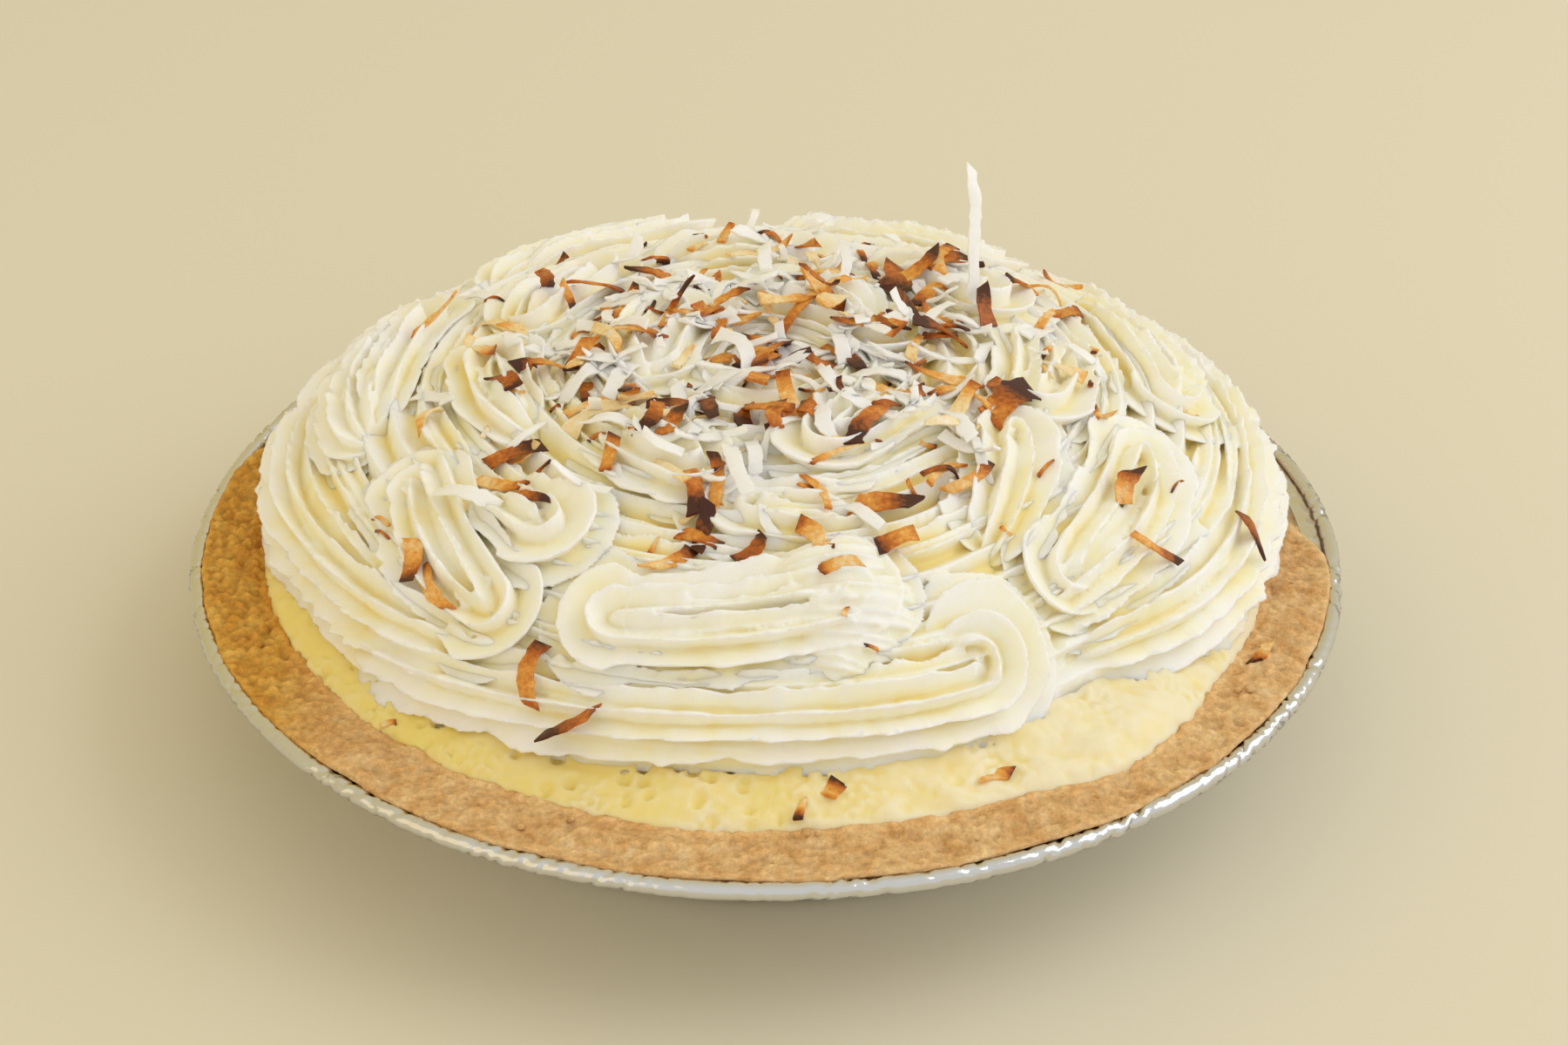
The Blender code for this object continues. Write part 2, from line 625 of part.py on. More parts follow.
def flake_list():
    """Large flakes in their places, then a scatter that is thicker towards the middle."""
    random_source = random.Random(FLAKE_SEED)
    flakes = [(*row, random_source.uniform(0.02, 0.12), random_source.uniform(-0.8, 0.8))
              for row in LARGE_FLAKES]
    for _ in range(SCATTERED_FLAKES):
        radius = abs(random_source.gauss(FLAKE_MEAN_RADIUS, FLAKE_SPREAD))
        place = direction(random_source.uniform(0.0, 360.0)) * min(radius, 66.0)
        flakes.append((
            place.x, place.y,
            random_source.uniform(8.0, 14.0), random_source.uniform(2.2, 4.2),
            random_source.uniform(0.0, 360.0), random_source.uniform(0.0, 30.0),
            random_source.uniform(0.0, 0.12), random_source.uniform(-1.0, 1.0),
        ))
    return flakes


def resting_place(surface, x, y, along, reach):
    """Where the middle of a flake lies when it rests on the highest point below it."""
    levels = []
    for share in (-0.4, 0.0, 0.4):
        step = along * (share * reach)
        hit, _, _, _ = surface.ray_cast(Vector(((x + step.x) * MM, (y + step.y) * MM, 0.2)),
                                        Vector((0.0, 0.0, -1.0)))
        if hit is not None:
            levels.append(hit.z / MM - step.z)
    return Vector((x, y, max(levels)))


def scatter_flakes(cream, collection):
    """Lays each flake on the cream, a little sunk, with one end lifted by its lean."""
    builder = bmesh.new()
    builder.from_mesh(cream.data)
    surface = BVHTree.FromBMesh(builder)
    builder.free()
    for number, row in enumerate(flake_list()):
        x, y, length, width, heading, lean, curve, twist = row
        _, normals = on_dome([(x, y)])
        normal = Vector(normals[0])
        turn = math.radians(heading)
        along = Vector((math.cos(turn), math.sin(turn), 0.0))
        along = (along - normal * along.dot(normal)).normalized()
        lift = math.radians(lean)
        lifted = along * math.cos(lift) + normal * math.sin(lift)
        side = normal.cross(along).normalized()
        axes = np.array([lifted, side, lifted.cross(side).normalized()])
        foot = resting_place(surface, x, y, along, length * math.cos(lift))
        foot += lifted * (0.5 * length * math.sin(lift)) - normal * FLAKE_SINK
        builder = bmesh.new()
        loft(builder, [np.array(foot) + ring @ axes
                       for ring in flake_rings(length, width, curve, twist)])
        bmesh.ops.triangulate(builder, faces=builder.faces)
        mesh = bpy.data.meshes.new(f"flake_{number}")
        builder.to_mesh(mesh)
        builder.free()
        new_object(mesh.name, mesh, collection)


def unite(piece, collection):
    """Joins all objects of a collection to the piece, then removes them."""
    union = piece.modifiers.new("Join", "BOOLEAN")
    union.operation = "UNION"
    union.operand_type = "COLLECTION"
    union.collection = collection
    union.solver = "MANIFOLD"
    applied(piece)
    for tool in list(collection.objects):
        mesh = tool.data
        bpy.data.objects.remove(tool)
        bpy.data.meshes.remove(mesh)
    bpy.data.collections.remove(collection)


def keep_largest_body(piece):
    """Drops loose scraps and fills sealed hollows: only the largest closed shell stays."""
    builder = bmesh.new()
    builder.from_mesh(piece.data)
    unseen = set(builder.faces)
    shells = []
    while unseen:
        stack = [unseen.pop()]
        shell = []
        while stack:
            face = stack.pop()
            shell.append(face)
            for edge in face.edges:
                for other in edge.link_faces:
                    if other in unseen:
                        unseen.remove(other)
                        stack.append(other)
        shells.append(shell)
    shells.sort(key=len)
    for shell in shells[:-1]:
        bmesh.ops.delete(builder, geom=shell, context="FACES")
    builder.to_mesh(piece.data)
    builder.free()


def triangulate(builder):
    """Makes triangles. Where two faces got the same diagonal, one gets a point on it instead."""
    origin = builder.faces.layers.int.new("origin")
    for face in builder.faces:
        face[origin] = face.index
    bmesh.ops.triangulate(builder, faces=builder.faces)
    crowded = [edge for edge in builder.edges if len(edge.link_faces) > 2]
    for edge in crowded:
        origins = [face[origin] for face in edge.link_faces]
        twice = next(number for number in origins if origins.count(number) == 2)
        pair = [face for face in edge.link_faces if face[origin] == twice]
        middle = builder.verts.new((edge.verts[0].co + edge.verts[1].co) * 0.5)
        for face in pair:
            for end in edge.verts:
                corners = [middle if corner is end else corner for corner in face.verts]
                builder.faces.new(corners)
        bmesh.ops.delete(builder, geom=pair, context="FACES_ONLY")
    builder.faces.layers.int.remove(origin)
    builder.normal_update()


def keeps_facing(vertex, gone, target):
    """Whether the faces round a vertex keep their sense, unfolded, once it moves to the target."""
    for face in vertex.link_faces:
        if gone in face.verts:
            continue
        corners = [target if corner is vertex else corner.co for corner in face.verts]
        moved = (corners[1] - corners[0]).cross(corners[2] - corners[0])
        if moved.length < 1e-10:
            return False
        moved.normalize()
        if moved.dot(face.normal) < 0.35:
            return False
        for edge in face.edges:
            for other in edge.link_faces:
                if other is not face and moved.dot(other.normal) < -0.75:
                    return False
    return True


def merge_pass(builder, limit):
    """Merges short edges that lie apart from each other, and says how many."""
    builder.normal_update()
    short = [edge for edge in builder.edges if edge.calc_length() < limit]
    short.sort(key=lambda edge: (edge.calc_length(), edge.index))
    busy = set()
    merged = {}
    for edge in short:
        kept, gone = edge.verts
        around_kept = {link.other_vert(kept) for link in kept.link_edges}
        around_gone = {link.other_vert(gone) for link in gone.link_edges}
        shared = around_kept & around_gone
        near = around_kept | around_gone
        if near & busy or len(shared) != 2:
            continue
        if min(len(vertex.link_edges) for vertex in shared) < 4:
            continue
        for target in ((kept.co + gone.co) * 0.5, kept.co.copy(), gone.co.copy()):
            if keeps_facing(kept, gone, target) and keeps_facing(gone, kept, target):
                kept.co = target
                merged[gone] = kept
                busy |= near
                break
    bmesh.ops.weld_verts(builder, targetmap=merged)
    return len(merged)


def merge_short_edges(piece, limit):
    """Merges the slivers that a Boolean leaves, up to an edge length in millimetres."""
    builder = bmesh.new()
    builder.from_mesh(piece.data)
    triangulate(builder)
    for step in (1, 2, 3):
        while merge_pass(builder, limit * MM * step / 3.0):
            builder.edges.index_update()
    builder.to_mesh(piece.data)
    builder.free()


def pipe_cream(cream):
    """Joins the core with all piped ropes into one skin of few triangles."""
    builder = bmesh.new()
    builder.from_mesh(cream.data)
    for number, (knots, curl) in enumerate(SKIRTS):
        loft(builder, rope_rings(skirt_path(knots, curl), 0.0, number))
    for number, (*shape, roll, lift) in enumerate(OVALS):
        loft(builder, rope_rings(oval_path(*shape), lift, len(SKIRTS) + number, roll))
    for number, distance in enumerate(UNDERLAY):
        path = [(direction(azimuth) * distance).xy for azimuth in range(0, 365, 3)]
        loft(builder, rope_rings(path, UNDERLAY_LIFT, number))
    for number, (first, last, half_width, lift) in enumerate(FLAPS):
        loft(builder, rope_rings((first, last), lift, number, FLAP_ROLL, FLAP_FLUTE_DEPTH,
                                 half_width))
    builder.to_mesh(cream.data)
    builder.free()
    skin = cream.modifiers.new("Join ropes", "REMESH")
    skin.mode = "VOXEL"
    skin.voxel_size = GRAIN * MM
    applied(cream)
    keep_largest_body(cream)
    thin = cream.modifiers.new("Thin", "DECIMATE")
    thin.ratio = PIPED_TRIANGLES / (2 * len(cream.data.polygons))
    thin.use_collapse_triangulate = True
    applied(cream)


def make_cream(collection, tools):
    """Piped cream on the custard, with coconut flakes fused to it."""
    whipped = new_material("whipped_dairy_cream", (248, 243, 224), 0.45)
    cream = make_core(collection, whipped)
    pipe_cream(cream)
    flakes = new_collection("flakes")
    scatter_flakes(cream, flakes)
    unite(cream, flakes)
    keep_largest_body(cream)
    merge_short_edges(cream, SHORT_EDGE)
    cut = cream.modifiers.new("Clearance", "BOOLEAN")
    cut.operation = "DIFFERENCE"
    cut.solver = "MANIFOLD"
    cut.object = make_clearance(tools)
    applied(cream)
    keep_largest_body(cream)
    merge_short_edges(cream, TINY_EDGE)
    return cream


def main():
    for old in list(bpy.data.objects):
        bpy.data.objects.remove(old)
    pie = new_collection("coconut_cream_pie")
    tools = new_collection("cutters")
    make_pan(pie)
    make_crust(pie)
    make_custard(pie)
    make_cream(pie, tools)


main()
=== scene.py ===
"""Coconut cream pie in its foil pan: the looks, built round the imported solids.

The shapes follow the same named sizes and rules as the solids, at a finer grain: a crinkled foil
pan, a flaky pastry rim, custard with pits and smears, piped cream with torn crests, and white and
toasted coconut. Sizes are in millimetres, and properties that carry a unit are in metres.
"""

import math
import random

import bmesh
import bpy
import numpy as np
from bpy.props import FloatProperty, FloatVectorProperty, IntProperty, PointerProperty
from bpy.types import Operator, Panel, PropertyGroup
from mathutils import Matrix, Vector, noise
from mathutils.bvhtree import BVHTree


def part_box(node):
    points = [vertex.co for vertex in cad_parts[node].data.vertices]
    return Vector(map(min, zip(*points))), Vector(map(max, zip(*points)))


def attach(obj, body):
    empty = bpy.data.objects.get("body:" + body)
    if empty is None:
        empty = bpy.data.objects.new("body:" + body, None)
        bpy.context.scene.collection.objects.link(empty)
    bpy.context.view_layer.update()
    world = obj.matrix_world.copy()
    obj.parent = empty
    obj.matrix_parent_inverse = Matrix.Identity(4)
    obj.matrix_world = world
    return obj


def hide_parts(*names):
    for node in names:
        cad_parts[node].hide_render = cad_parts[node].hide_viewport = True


bl_info = {
    "name": "Coconut cream pie",
    "version": (1, 0, 0),
    "blender": (4, 5, 0),
    "location": "View3D > Sidebar > Pie",
    "description": "Builds a coconut cream pie in a foil pan, piece by piece",
    "category": "Add Mesh",
}

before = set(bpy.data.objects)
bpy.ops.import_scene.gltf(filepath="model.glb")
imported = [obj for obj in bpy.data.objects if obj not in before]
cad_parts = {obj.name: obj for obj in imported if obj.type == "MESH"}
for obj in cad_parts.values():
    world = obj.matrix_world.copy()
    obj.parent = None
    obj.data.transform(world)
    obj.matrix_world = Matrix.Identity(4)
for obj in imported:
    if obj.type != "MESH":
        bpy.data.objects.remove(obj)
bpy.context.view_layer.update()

MM = 0.001
# Height in metres, above the whole pie, from which rays look down on a surface
LOOKOUT_LEVEL = 0.2

# The photograph's view: place of the lens in metres, angle down and roll in degrees, focal
# length and film width in millimetres
CAMERA_PLACE = (0.0034, -0.5193, 0.3562)
CAMERA_PITCH = 31.98
CAMERA_ROLL = 0.52
FOCAL_LENGTH = 70.0
FILM_WIDTH = 36.0
# Places of the two lights and reach of the floor, in metres
KEY_PLACE = (0.88, 0.05, 0.78)
FILL_PLACE = (-0.80, -0.65, 0.5)
FLOOR_REACH = 4.0
# Way towards the side of the room that gives a warmer light
WARM_SIDE = (-0.6, 0.8, -0.2)

# Driving sizes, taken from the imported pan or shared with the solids
RIM_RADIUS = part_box("foil_pan")[1].y / MM
BEAD_RADIUS = 1.8
RIM_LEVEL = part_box("foil_pan")[1].z / MM - BEAD_RADIUS
BASE_RADIUS = 79.5
BASE_CORNER = 2.5
WALL_TOP_RADIUS = 103.0
FOIL = 0.5
FLANGE_LEVEL = RIM_LEVEL - 0.4
PLEATS = 32
PLEAT_DEPTH = 0.45
# Creases across the rolled edge: how many clusters, and half the widest one's width in degrees
CREASES = (70, 0.62)
FINE_CREASES = (120, 0.45)

CRUST_BOTTOM = FOIL + 0.4
CRUST_FLOOR_LEVEL = CRUST_BOTTOM + 4.0
CRUST_FLOOR_RADIUS = 76.0
# Top of the crust's inner wall, just below the custard's edge
CRUST_WALL_RADIUS = 96.3
CRUST_WALL_LEVEL = 26.6
CRUST_OUTER_RADIUS = 110.3
CRUST_INNER_RADIUS = 99.3
CRUST_RIM_TOP = RIM_LEVEL + 2.5
CRUST_NARROW_RADIUS = 103.4
# How far the flaky edge reaches past the solid's plain one
FLAKY_OVERHANG = 1.35

# Room between the custard and the crust's wall and floor, and overlap at the crust's inner edge
GAP = 0.35
OVERLAP = 0.3
CUSTARD_EDGE_LEVEL = RIM_LEVEL + 1.9
CUSTARD_RISE = 11.0

# Points round each turned piece, and rows along the parts of its section
PAN_COLUMNS = 1200
BEAD_ROWS = 15
WALL_ROWS = 9
CRUST_COLUMNS = 1200
CRUST_TOP_ROWS = 26
CRUST_SIDE_ROWS = 6
CUSTARD_COLUMNS = 960
CUSTARD_EDGE_ROWS = 44
# Radius of the small cap in the middle of a turned piece
CAP_RADIUS = 0.5

CREAM_FOOT = RIM_LEVEL + 7.0
CREAM_TOP = RIM_LEVEL + 45.0
DOME_PLAN_POWER = 2.7
DOME_HEIGHT_POWER = 1.8
# Radius of the cream's edge at some azimuths, going round once
CREAM_EDGE = (
    (-150, 106.0), (-110, 105.0), (-85, 103.0), (-65, 96.5), (-50, 97.0), (-25, 95.0),
    (0, 92.5), (20, 93.0), (34, 92.0), (44, 88.0), (54, 95.0), (70, 103.0), (95, 106.5),
    (150, 107.0),
)

ROPE_HALF_WIDTH = 11.5
ROPE_HALF_DEPTH = 9.0
FLUTES = 14
FLUTE_DEPTH = 4.4
END_LENGTH = 11.0
CORE_DEPTH = 3.5
# Grain of the piping: points round a rope, step along it, voxels that join the ropes
SECTION_POINTS = 144
STATION_STEP = 0.7
VOXEL = 0.38
# How narrow the crests are
CREST_SHARPNESS = 1.8
# Share of the way from one crest to the next, outwards, in which the lip falls off
LIP_STEEPNESS = 0.34
RIDGE_STEP = 3.3
# Bodies of cream smaller than this, in cubic millimetres, are scraps
SMALLEST_BODY = 500.0
# Height above the foot over which the painted shade deep between the ropes fades in
FOOT_FADE = 12.0
DISC_RADIUS = 112.0

# Skirt ropes along the foot of the dome: azimuth and distance on the disc at some points,
# then the radius of the curl at the end (0 for none), which turns back by CURL_TURN degrees
CURL_TURN = 235.0
SKIRTS = (
    (((-56, 108.5), (-40, 105.5), (-20, 102.0), (0, 100.5), (15, 101.0), (27, 101.0)), 7.0),
    (((43, 104.0), (55, 105.5), (70, 102.0), (90, 99.5), (120, 101.0), (150, 102.0)), 0.0),
    (((153, 102.0), (180, 102.0), (213, 102.0)), 0.0),
    (((216, 102.0), (250, 102.0), (280, 103.5), (300, 101.0), (322, 96.0)), 0.0),
)

# Ovals piped on the dome: azimuth and distance of the middle, half length, half width, slope
# away from the edge, where the piping starts and how far it goes as shares of a full turn, roll
# of the flutes, lift above the dome
OVALS = (
    (-2, 77.5, 42, 15.5, -0.15, 0.10, 1.05, 0.0, 0.8),
    (-53, 80.0, 38, 17.0, 0.30, 0.55, 1.1, 0.0, 0.0),
    (60, 79.0, 38, 17.5, -0.34, 0.45, -1.1, 0.0, 0.0),
    (110, 78.0, 37, 15.5, 0.0, -0.05, 1.05, 0.0, 0.0),
    (160, 78.0, 37, 15.5, 0.0, -0.05, 1.05, 0.0, 0.0),
    (-150, 78.0, 37, 15.5, 0.0, -0.05, 1.05, 0.0, 0.5),
    (-100, 79.0, 37, 15.5, 0.0, -0.05, 1.05, 0.0, 1.5),
    (52, 61.0, 28, 15.0, -0.75, 0.45, -1.05, 0.5, 0.5),
    (-45, 66.0, 21, 13.5, 0.10, 0.55, 1.1, 0.0, 1.0),
    (8, 52.0, 27, 15.5, 0.15, 0.0, 1.05, 0.5, -1.5),
    (95, 51.0, 27, 15.5, 0.1, 0.1, 1.05, 0.0, 0.0),
    (140, 50.0, 27, 15.5, -0.1, 0.0, 1.05, 0.0, 0.5),
    (-172, 50.0, 27, 15.5, 0.1, 0.0, 1.05, 0.0, 0.0),
    (-125, 51.0, 27, 15.5, 0.0, 0.1, 1.05, 0.0, 0.5),
    (-82, 50.0, 27, 15.5, -0.1, 0.0, 1.05, 0.0, 0.0),
    (-35, 38.0, 25, 15.0, 0.2, 0.5, 1.05, 0.5, 0.5),
    (40, 30.0, 25, 16.0, -0.2, 0.0, 1.05, 0.0, 0.5),
    (150, 24.0, 26, 17.0, 0.0, 0.3, 1.1, 0.0, 0.5),
    (-110, 22.0, 26, 17.0, 0.0, 0.0, 1.1, 0.0, 1.0),
)
# The first ovals of the list form the ring near the edge
OUTER_OVALS = 7
WIND_IN = 0.35
FAN_OUT = 0.35
END_BLUNTNESS = 0.8
# Ropes below the others, which fill the gaps between them: distance on the disc
UNDERLAY = (90.0, 65.0, 41.0, 17.0)
UNDERLAY_LIFT = -3.0
UNDERLAY_SEED = 50
# Torn flaps where the front oval is smeared: both ends on the disc, half width, lift
FLAPS = (
    ((0.0, -70.0), (26.0, -64.5), 6.5, 1.6), ((3.0, -74.0), (31.0, -70.5), 6.5, 0.8),
    ((2.0, -78.0), (32.0, -76.5), 6.0, 0.2), ((4.0, -82.0), (29.0, -82.0), 5.5, -0.2),
    ((6.0, -85.5), (24.0, -88.0), 5.0, -0.4),
)
FLAP_FLUTE_DEPTH = 1.3
FLAP_ROLL = 0.5
FLAP_SEED = 70
# How much the crests of a piece are torn, against the measured teeth
SKIRT_TEARING = 0.9
RIGHT_SKIRT_TEARING = 1.25
OVAL_TEARING = 0.85
RIGHT_OVAL_TEARING = 1.3
FLAP_TEARING = 1.4

# Large flakes: x, y, length, width, heading, lean, toast; heading 0 lies along X
LARGE_FLAKES = (
    (-13.6, -46.0, 11.5, 3.4, -82, 12, 0.72), (-48.0, -29.7, 12.0, 3.4, 18, 8, 0.80),
    (6.0, 12.0, 30.0, 2.2, 58, 14, 0.55), (41.0, 26.0, 27.0, 2.6, 105, 62, 0.0),
    (-11.7, 12.0, 13.0, 3.2, -76, 10, 0.75), (14.0, 2.0, 12.5, 3.2, -55, 8, 0.72),
    (25.0, 31.0, 12.0, 7.0, 80, 25, 0.82), (43.5, 19.0, 11.0, 3.6, 100, 30, 0.85),
    (60.0, 33.0, 10.0, 4.0, 40, 12, 0.60), (45.5, -17.0, 13.0, 6.5, 55, 15, 0.78),
    (20.6, -46.3, 12.0, 4.0, 5, 12, 0.70), (-3.5, -60.0, 9.0, 3.6, 60, 20, 0.78),
    (8.0, -57.0, 9.0, 3.6, -60, 8, 0.42), (23.0, -58.0, 8.5, 4.0, 35, 10, 0.60),
    (12.9, -66.0, 8.0, 3.4, 20, 6, 0.42), (-51.5, -8.6, 9.0, 3.6, -50, 12, 0.78),
    (-65.5, -52.0, 9.0, 4.0, 70, 10, 0.50), (-60.5, -56.5, 14.0, 3.2, -68, 10, 0.45),
    (-44.0, -45.0, 9.0, 2.6, -25, 14, 0.75), (-40.5, -79.0, 13.5, 3.2, 72, 8, 0.58),
    (-34.5, -85.0, 10.0, 3.6, 8, 4, 0.80), (68.0, -34.5, 9.0, 4.2, 80, 18, 0.60),
    (72.0, -43.0, 10.0, 1.8, -8, 12, 0.60), (93.5, -26.0, 9.5, 3.0, -62, 14, 0.80),
    (37.0, -38.5, 11.5, 2.8, 48, 8, 0.52), (-19.7, -21.5, 8.0, 4.2, -10, 12, 0.95),
    (-18.5, -29.5, 8.0, 3.4, 65, 14, 0.72), (-60.0, 40.0, 12.0, 3.6, -40, 12, 0.0),
    (18.0, -30.5, 12.5, 3.6, 68, 16, 0.80), (-45.5, 29.5, 11.0, 3.2, -80, 48, 0.78),
)
# Brown flecks in the custard, in the same order
CUSTARD_FLECKS = (
    (12.3, -92.0, 4.5, 3.0, 70, 0, 0.62), (7.0, -96.5, 5.0, 1.8, 75, 0, 0.50),
    (41.5, -85.8, 6.0, 3.0, 20, 0, 0.45), (93.5, -43.5, 6.0, 2.6, 60, 4, 0.50),
    (-68.0, -70.5, 3.0, 1.4, 10, 0, 0.40),
)
SCATTERED_FLAKES = 56
FLAKE_MEAN_RADIUS = 34.0
FLAKE_SPREAD = 15.0
FLAKE_REACH = 66.0
FLAKE_SINK = 0.7
FLAKE_SEED = 11
SHRED_THICKNESS = 0.6
# How deep a draped shred sinks in, and how far one of its ends is raised at most
DRAPE_SINK = 0.2
MOST_RAISED = 5.0
# How far behind the middle the heap of coconut lies, and how far out it is strewn
HEAP_SHIFT = 4.0
HEAP_REACH = 84.0
# How brown a shred is, from 0 for white to 1 for nearly black; each is as likely
TOASTS = (0.0, 0.0, 0.2, 0.28, 0.36, 0.42, 0.48, 0.54, 0.62, 0.7, 0.8, 0.92)
# White shreds, toasted shreds and bits: mean distance from the middle, its spread, longest,
# widest, and the toasts to choose from (none for white)
STREWN = (
    (30.0, 17.0, 14.0, 3.8, ()), (34.0, 18.0, 13.0, 3.4, TOASTS), (42.0, 20.0, 4.5, 1.4, TOASTS[1:]),
)
# A shred browner than this counts as toasted
TOASTED_FROM = 0.06

CRUMBS = 46
CRUMB_SEED = 31
CRUMB_BAND = (100.5, 108.0)
CRUMB_SIZES = (0.35, 0.5, 0.8, 1.1)


def linear(code):
    """Linear colour with alpha from an sRGB hex code."""
    values = [int(code[start:start + 2], 16) / 255.0 for start in (1, 3, 5)]
    return (*[value / 12.92 if value <= 0.04045 else ((value + 0.055) / 1.055) ** 2.4
              for value in values], 1.0)


def add_node(tree, kind, inputs=None, stops=(), **settings):
    """Adds a node. An input is a value, or an output socket to link; stops colour a ramp."""
    node = tree.nodes.new(kind)
    for name, value in settings.items():
        setattr(node, name, value)
    for name, value in (inputs or {}).items():
        if isinstance(value, bpy.types.NodeSocket):
            tree.links.new(value, node.inputs[name])
        else:
            node.inputs[name].default_value = value
    if stops:
        elements = node.color_ramp.elements
        for position, _ in stops[1:-1]:
            elements.new(position)
        elements[0].position = stops[0][0]
        elements[-1].position = stops[-1][0]
        for element, (_, colour) in zip(elements, stops):
            element.color = colour
    return node


def new_material(name):
    """A named material whose node tree is empty."""
    material = bpy.data.materials.new(name)
    material.use_nodes = True
    material.node_tree.nodes.clear()
    return material, material.node_tree


def per_mm(size):
    """Texture scale that repeats about once in so many millimetres."""
    return 1.0 / (size * MM)


def direction(azimuth):
    """Unit vector in plan for an azimuth in degrees, 0 at the front and 90 at the right."""
    angle = math.radians(azimuth)
    return Vector((math.sin(angle), -math.cos(angle), 0.0))


def wobble(*coordinates):
    """Smooth noise between -1 and 1, the same at each run."""
    return noise.noise(coordinates)


def ring_wobble(azimuth, swiftness, layer):
    """Smooth noise that goes round the pie, and changes faster the swifter it is."""
    around = direction(azimuth) * swiftness
    return wobble(around.x, around.y, layer)


def hump(azimuth, centre, half_width):
    """One at the centre azimuth, falling to nothing a little past the half width."""
    offset = (azimuth - centre + 180.0) % 360.0 - 180.0
    return math.exp(-((offset / half_width) ** 4))


def crust_inner_radius(azimuth):
    """Where custard and crust meet: wider at the lip of custard on the right front."""
    lip = 3.2 * hump(azimuth, 42.0, 12.0)
    curl = -1.2 * hump(azimuth, -40.0, 4.0)
    return CRUST_INNER_RADIUS + lip + curl + 0.9 * ring_wobble(azimuth, 3.0, 4.0)


def crust_outer_radius(azimuth):
    """The rim's outer edge, broken away on the left and on the right behind."""
    broken = max(hump(azimuth, -117.0, 10.0), hump(azimuth, 99.0, 11.0))
    edge = CRUST_OUTER_RADIUS + 0.55 * ring_wobble(azimuth, 6.0, 1.0)
    return edge + (CRUST_NARROW_RADIUS - edge) * broken


def crust_rim_level(azimuth, share):
    """Top of the crust's rim, share 0 at its inner edge and 1 at its outer edge."""
    fall = 1.3 * share ** 3
    return CRUST_RIM_TOP - fall + 0.45 * ring_wobble(azimuth, 5.0 + 2.0 * share, 7.0)


def custard_level(share, azimuth):
    """Top of the custard at a share of the radius of its edge."""
    share = min(share, 1.0)
    rise = CUSTARD_RISE * (1.0 - share ** 4) ** (1.0 / 1.5)
    ripple = 0.8 * ring_wobble(azimuth, 8.0 * share, 2.0) * min(1.0, rise / 3.0)
    dent = -1.6 * hump(azimuth, 31.0, 5.0) * math.exp(-((share - 0.93) / 0.03) ** 2)
    swell = 0.9 * hump(azimuth, 42.0, 9.0) * math.exp(-((share - 0.96) / 0.04) ** 2)
    return CUSTARD_EDGE_LEVEL + rise + ripple + dent + swell


def linked(name, data):
    """A new object in the scene, from a mesh, a light or a camera."""
    thing = bpy.data.objects.new(name, data)
    bpy.context.scene.collection.objects.link(thing)
    return thing


def finish_piece(piece, material, slot, *nodes):
    """Smooths a piece, gives it its material and hides the CAD nodes it stands for. The slot is not
    used.
    """
    piece.data.shade_smooth()
    piece.data.materials.append(material)
    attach(piece, "root")
    if nodes:
        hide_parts(*nodes)


def turned_faces(rows, columns):
    """Quads between closed rows of points, and fans that shut both ends."""
    faces = []
    for low in range(0, (rows - 1) * columns, columns):
        for column in range(columns):
            after = (column + 1) % columns
            faces.append((low + columns + column, low + columns + after, low + after,
                          low + column))
    faces.append(tuple(range(columns)))
    faces.append(tuple(reversed(range((rows - 1) * columns, rows * columns))))
    return faces


def turned_piece(name, profiles, material, slot, node):
    """A turned piece whose profile differs from column to column, in place of a CAD node.

    A profile has radius and level at each row, from the middle of the top, over the outer side,
    to the middle of the bottom.
    """
    profiles = np.array(profiles, float)
    columns, rows, _ = profiles.shape
    azimuth = np.arange(columns) * math.tau / columns
    outward = np.stack([np.sin(azimuth), -np.cos(azimuth)], axis=1)
    points = np.empty((rows, columns, 3))
    points[..., :2] = profiles[..., 0].T[..., None] * outward[None]
    points[..., 2] = profiles[..., 1].T
    mesh = bpy.data.meshes.new(name)
    mesh.from_pydata((points.reshape(-1, 3) * MM).tolist(), [], turned_faces(rows, columns))
    piece = linked(name, mesh)
    finish_piece(piece, material, slot, node)
    return piece


def tube_mesh(name, grids):
    """One mesh of closed tubes, each given as (rows, round it, 3) in millimetres."""
    points = []
    faces = []
    count = 0
    for grid in grids:
        ends = [np.broadcast_to(row.mean(axis=0), row.shape) for row in (grid[0], grid[-1])]
        grid = np.concatenate([ends[0][None], grid, ends[1][None]])
        rows, columns, _ = grid.shape
        index = count + np.arange(rows * columns).reshape(rows, columns)
        after = np.roll(index, -1, axis=1)
        faces.append(np.stack([index[:-1], after[:-1], after[1:], index[1:]], axis=-1)
                     .reshape(-1, 4))
        points.append(grid.reshape(-1, 3))
        count += rows * columns
    points = np.concatenate(points) * MM
    faces = np.concatenate(faces)
    mesh = bpy.data.meshes.new(name)
    mesh.vertices.add(len(points))
    mesh.vertices.foreach_set("co", points.astype(np.float32).ravel())
    mesh.loops.add(faces.size)
    mesh.loops.foreach_set("vertex_index", faces.ravel().astype(np.int32))
    mesh.polygons.add(len(faces))
    mesh.polygons.foreach_set("loop_start", np.arange(0, faces.size, 4, dtype=np.int32))
    mesh.update(calc_edges=True)
    return mesh


def applied(piece):
    """Gives the object its evaluated mesh and drops its modifiers."""
    graph = bpy.context.evaluated_depsgraph_get()
    graph.update()
    mesh = bpy.data.meshes.new_from_object(piece.evaluated_get(graph))
    piece.modifiers.clear()
    old = piece.data
    piece.data = mesh
    bpy.data.meshes.remove(old)


def mesh_points(mesh):
    """The mesh's vertices in millimetres, as an array."""
    points = np.empty(len(mesh.vertices) * 3, np.float32)
    mesh.vertices.foreach_get("co", points)
    return points.reshape(-1, 3).astype(float) / MM


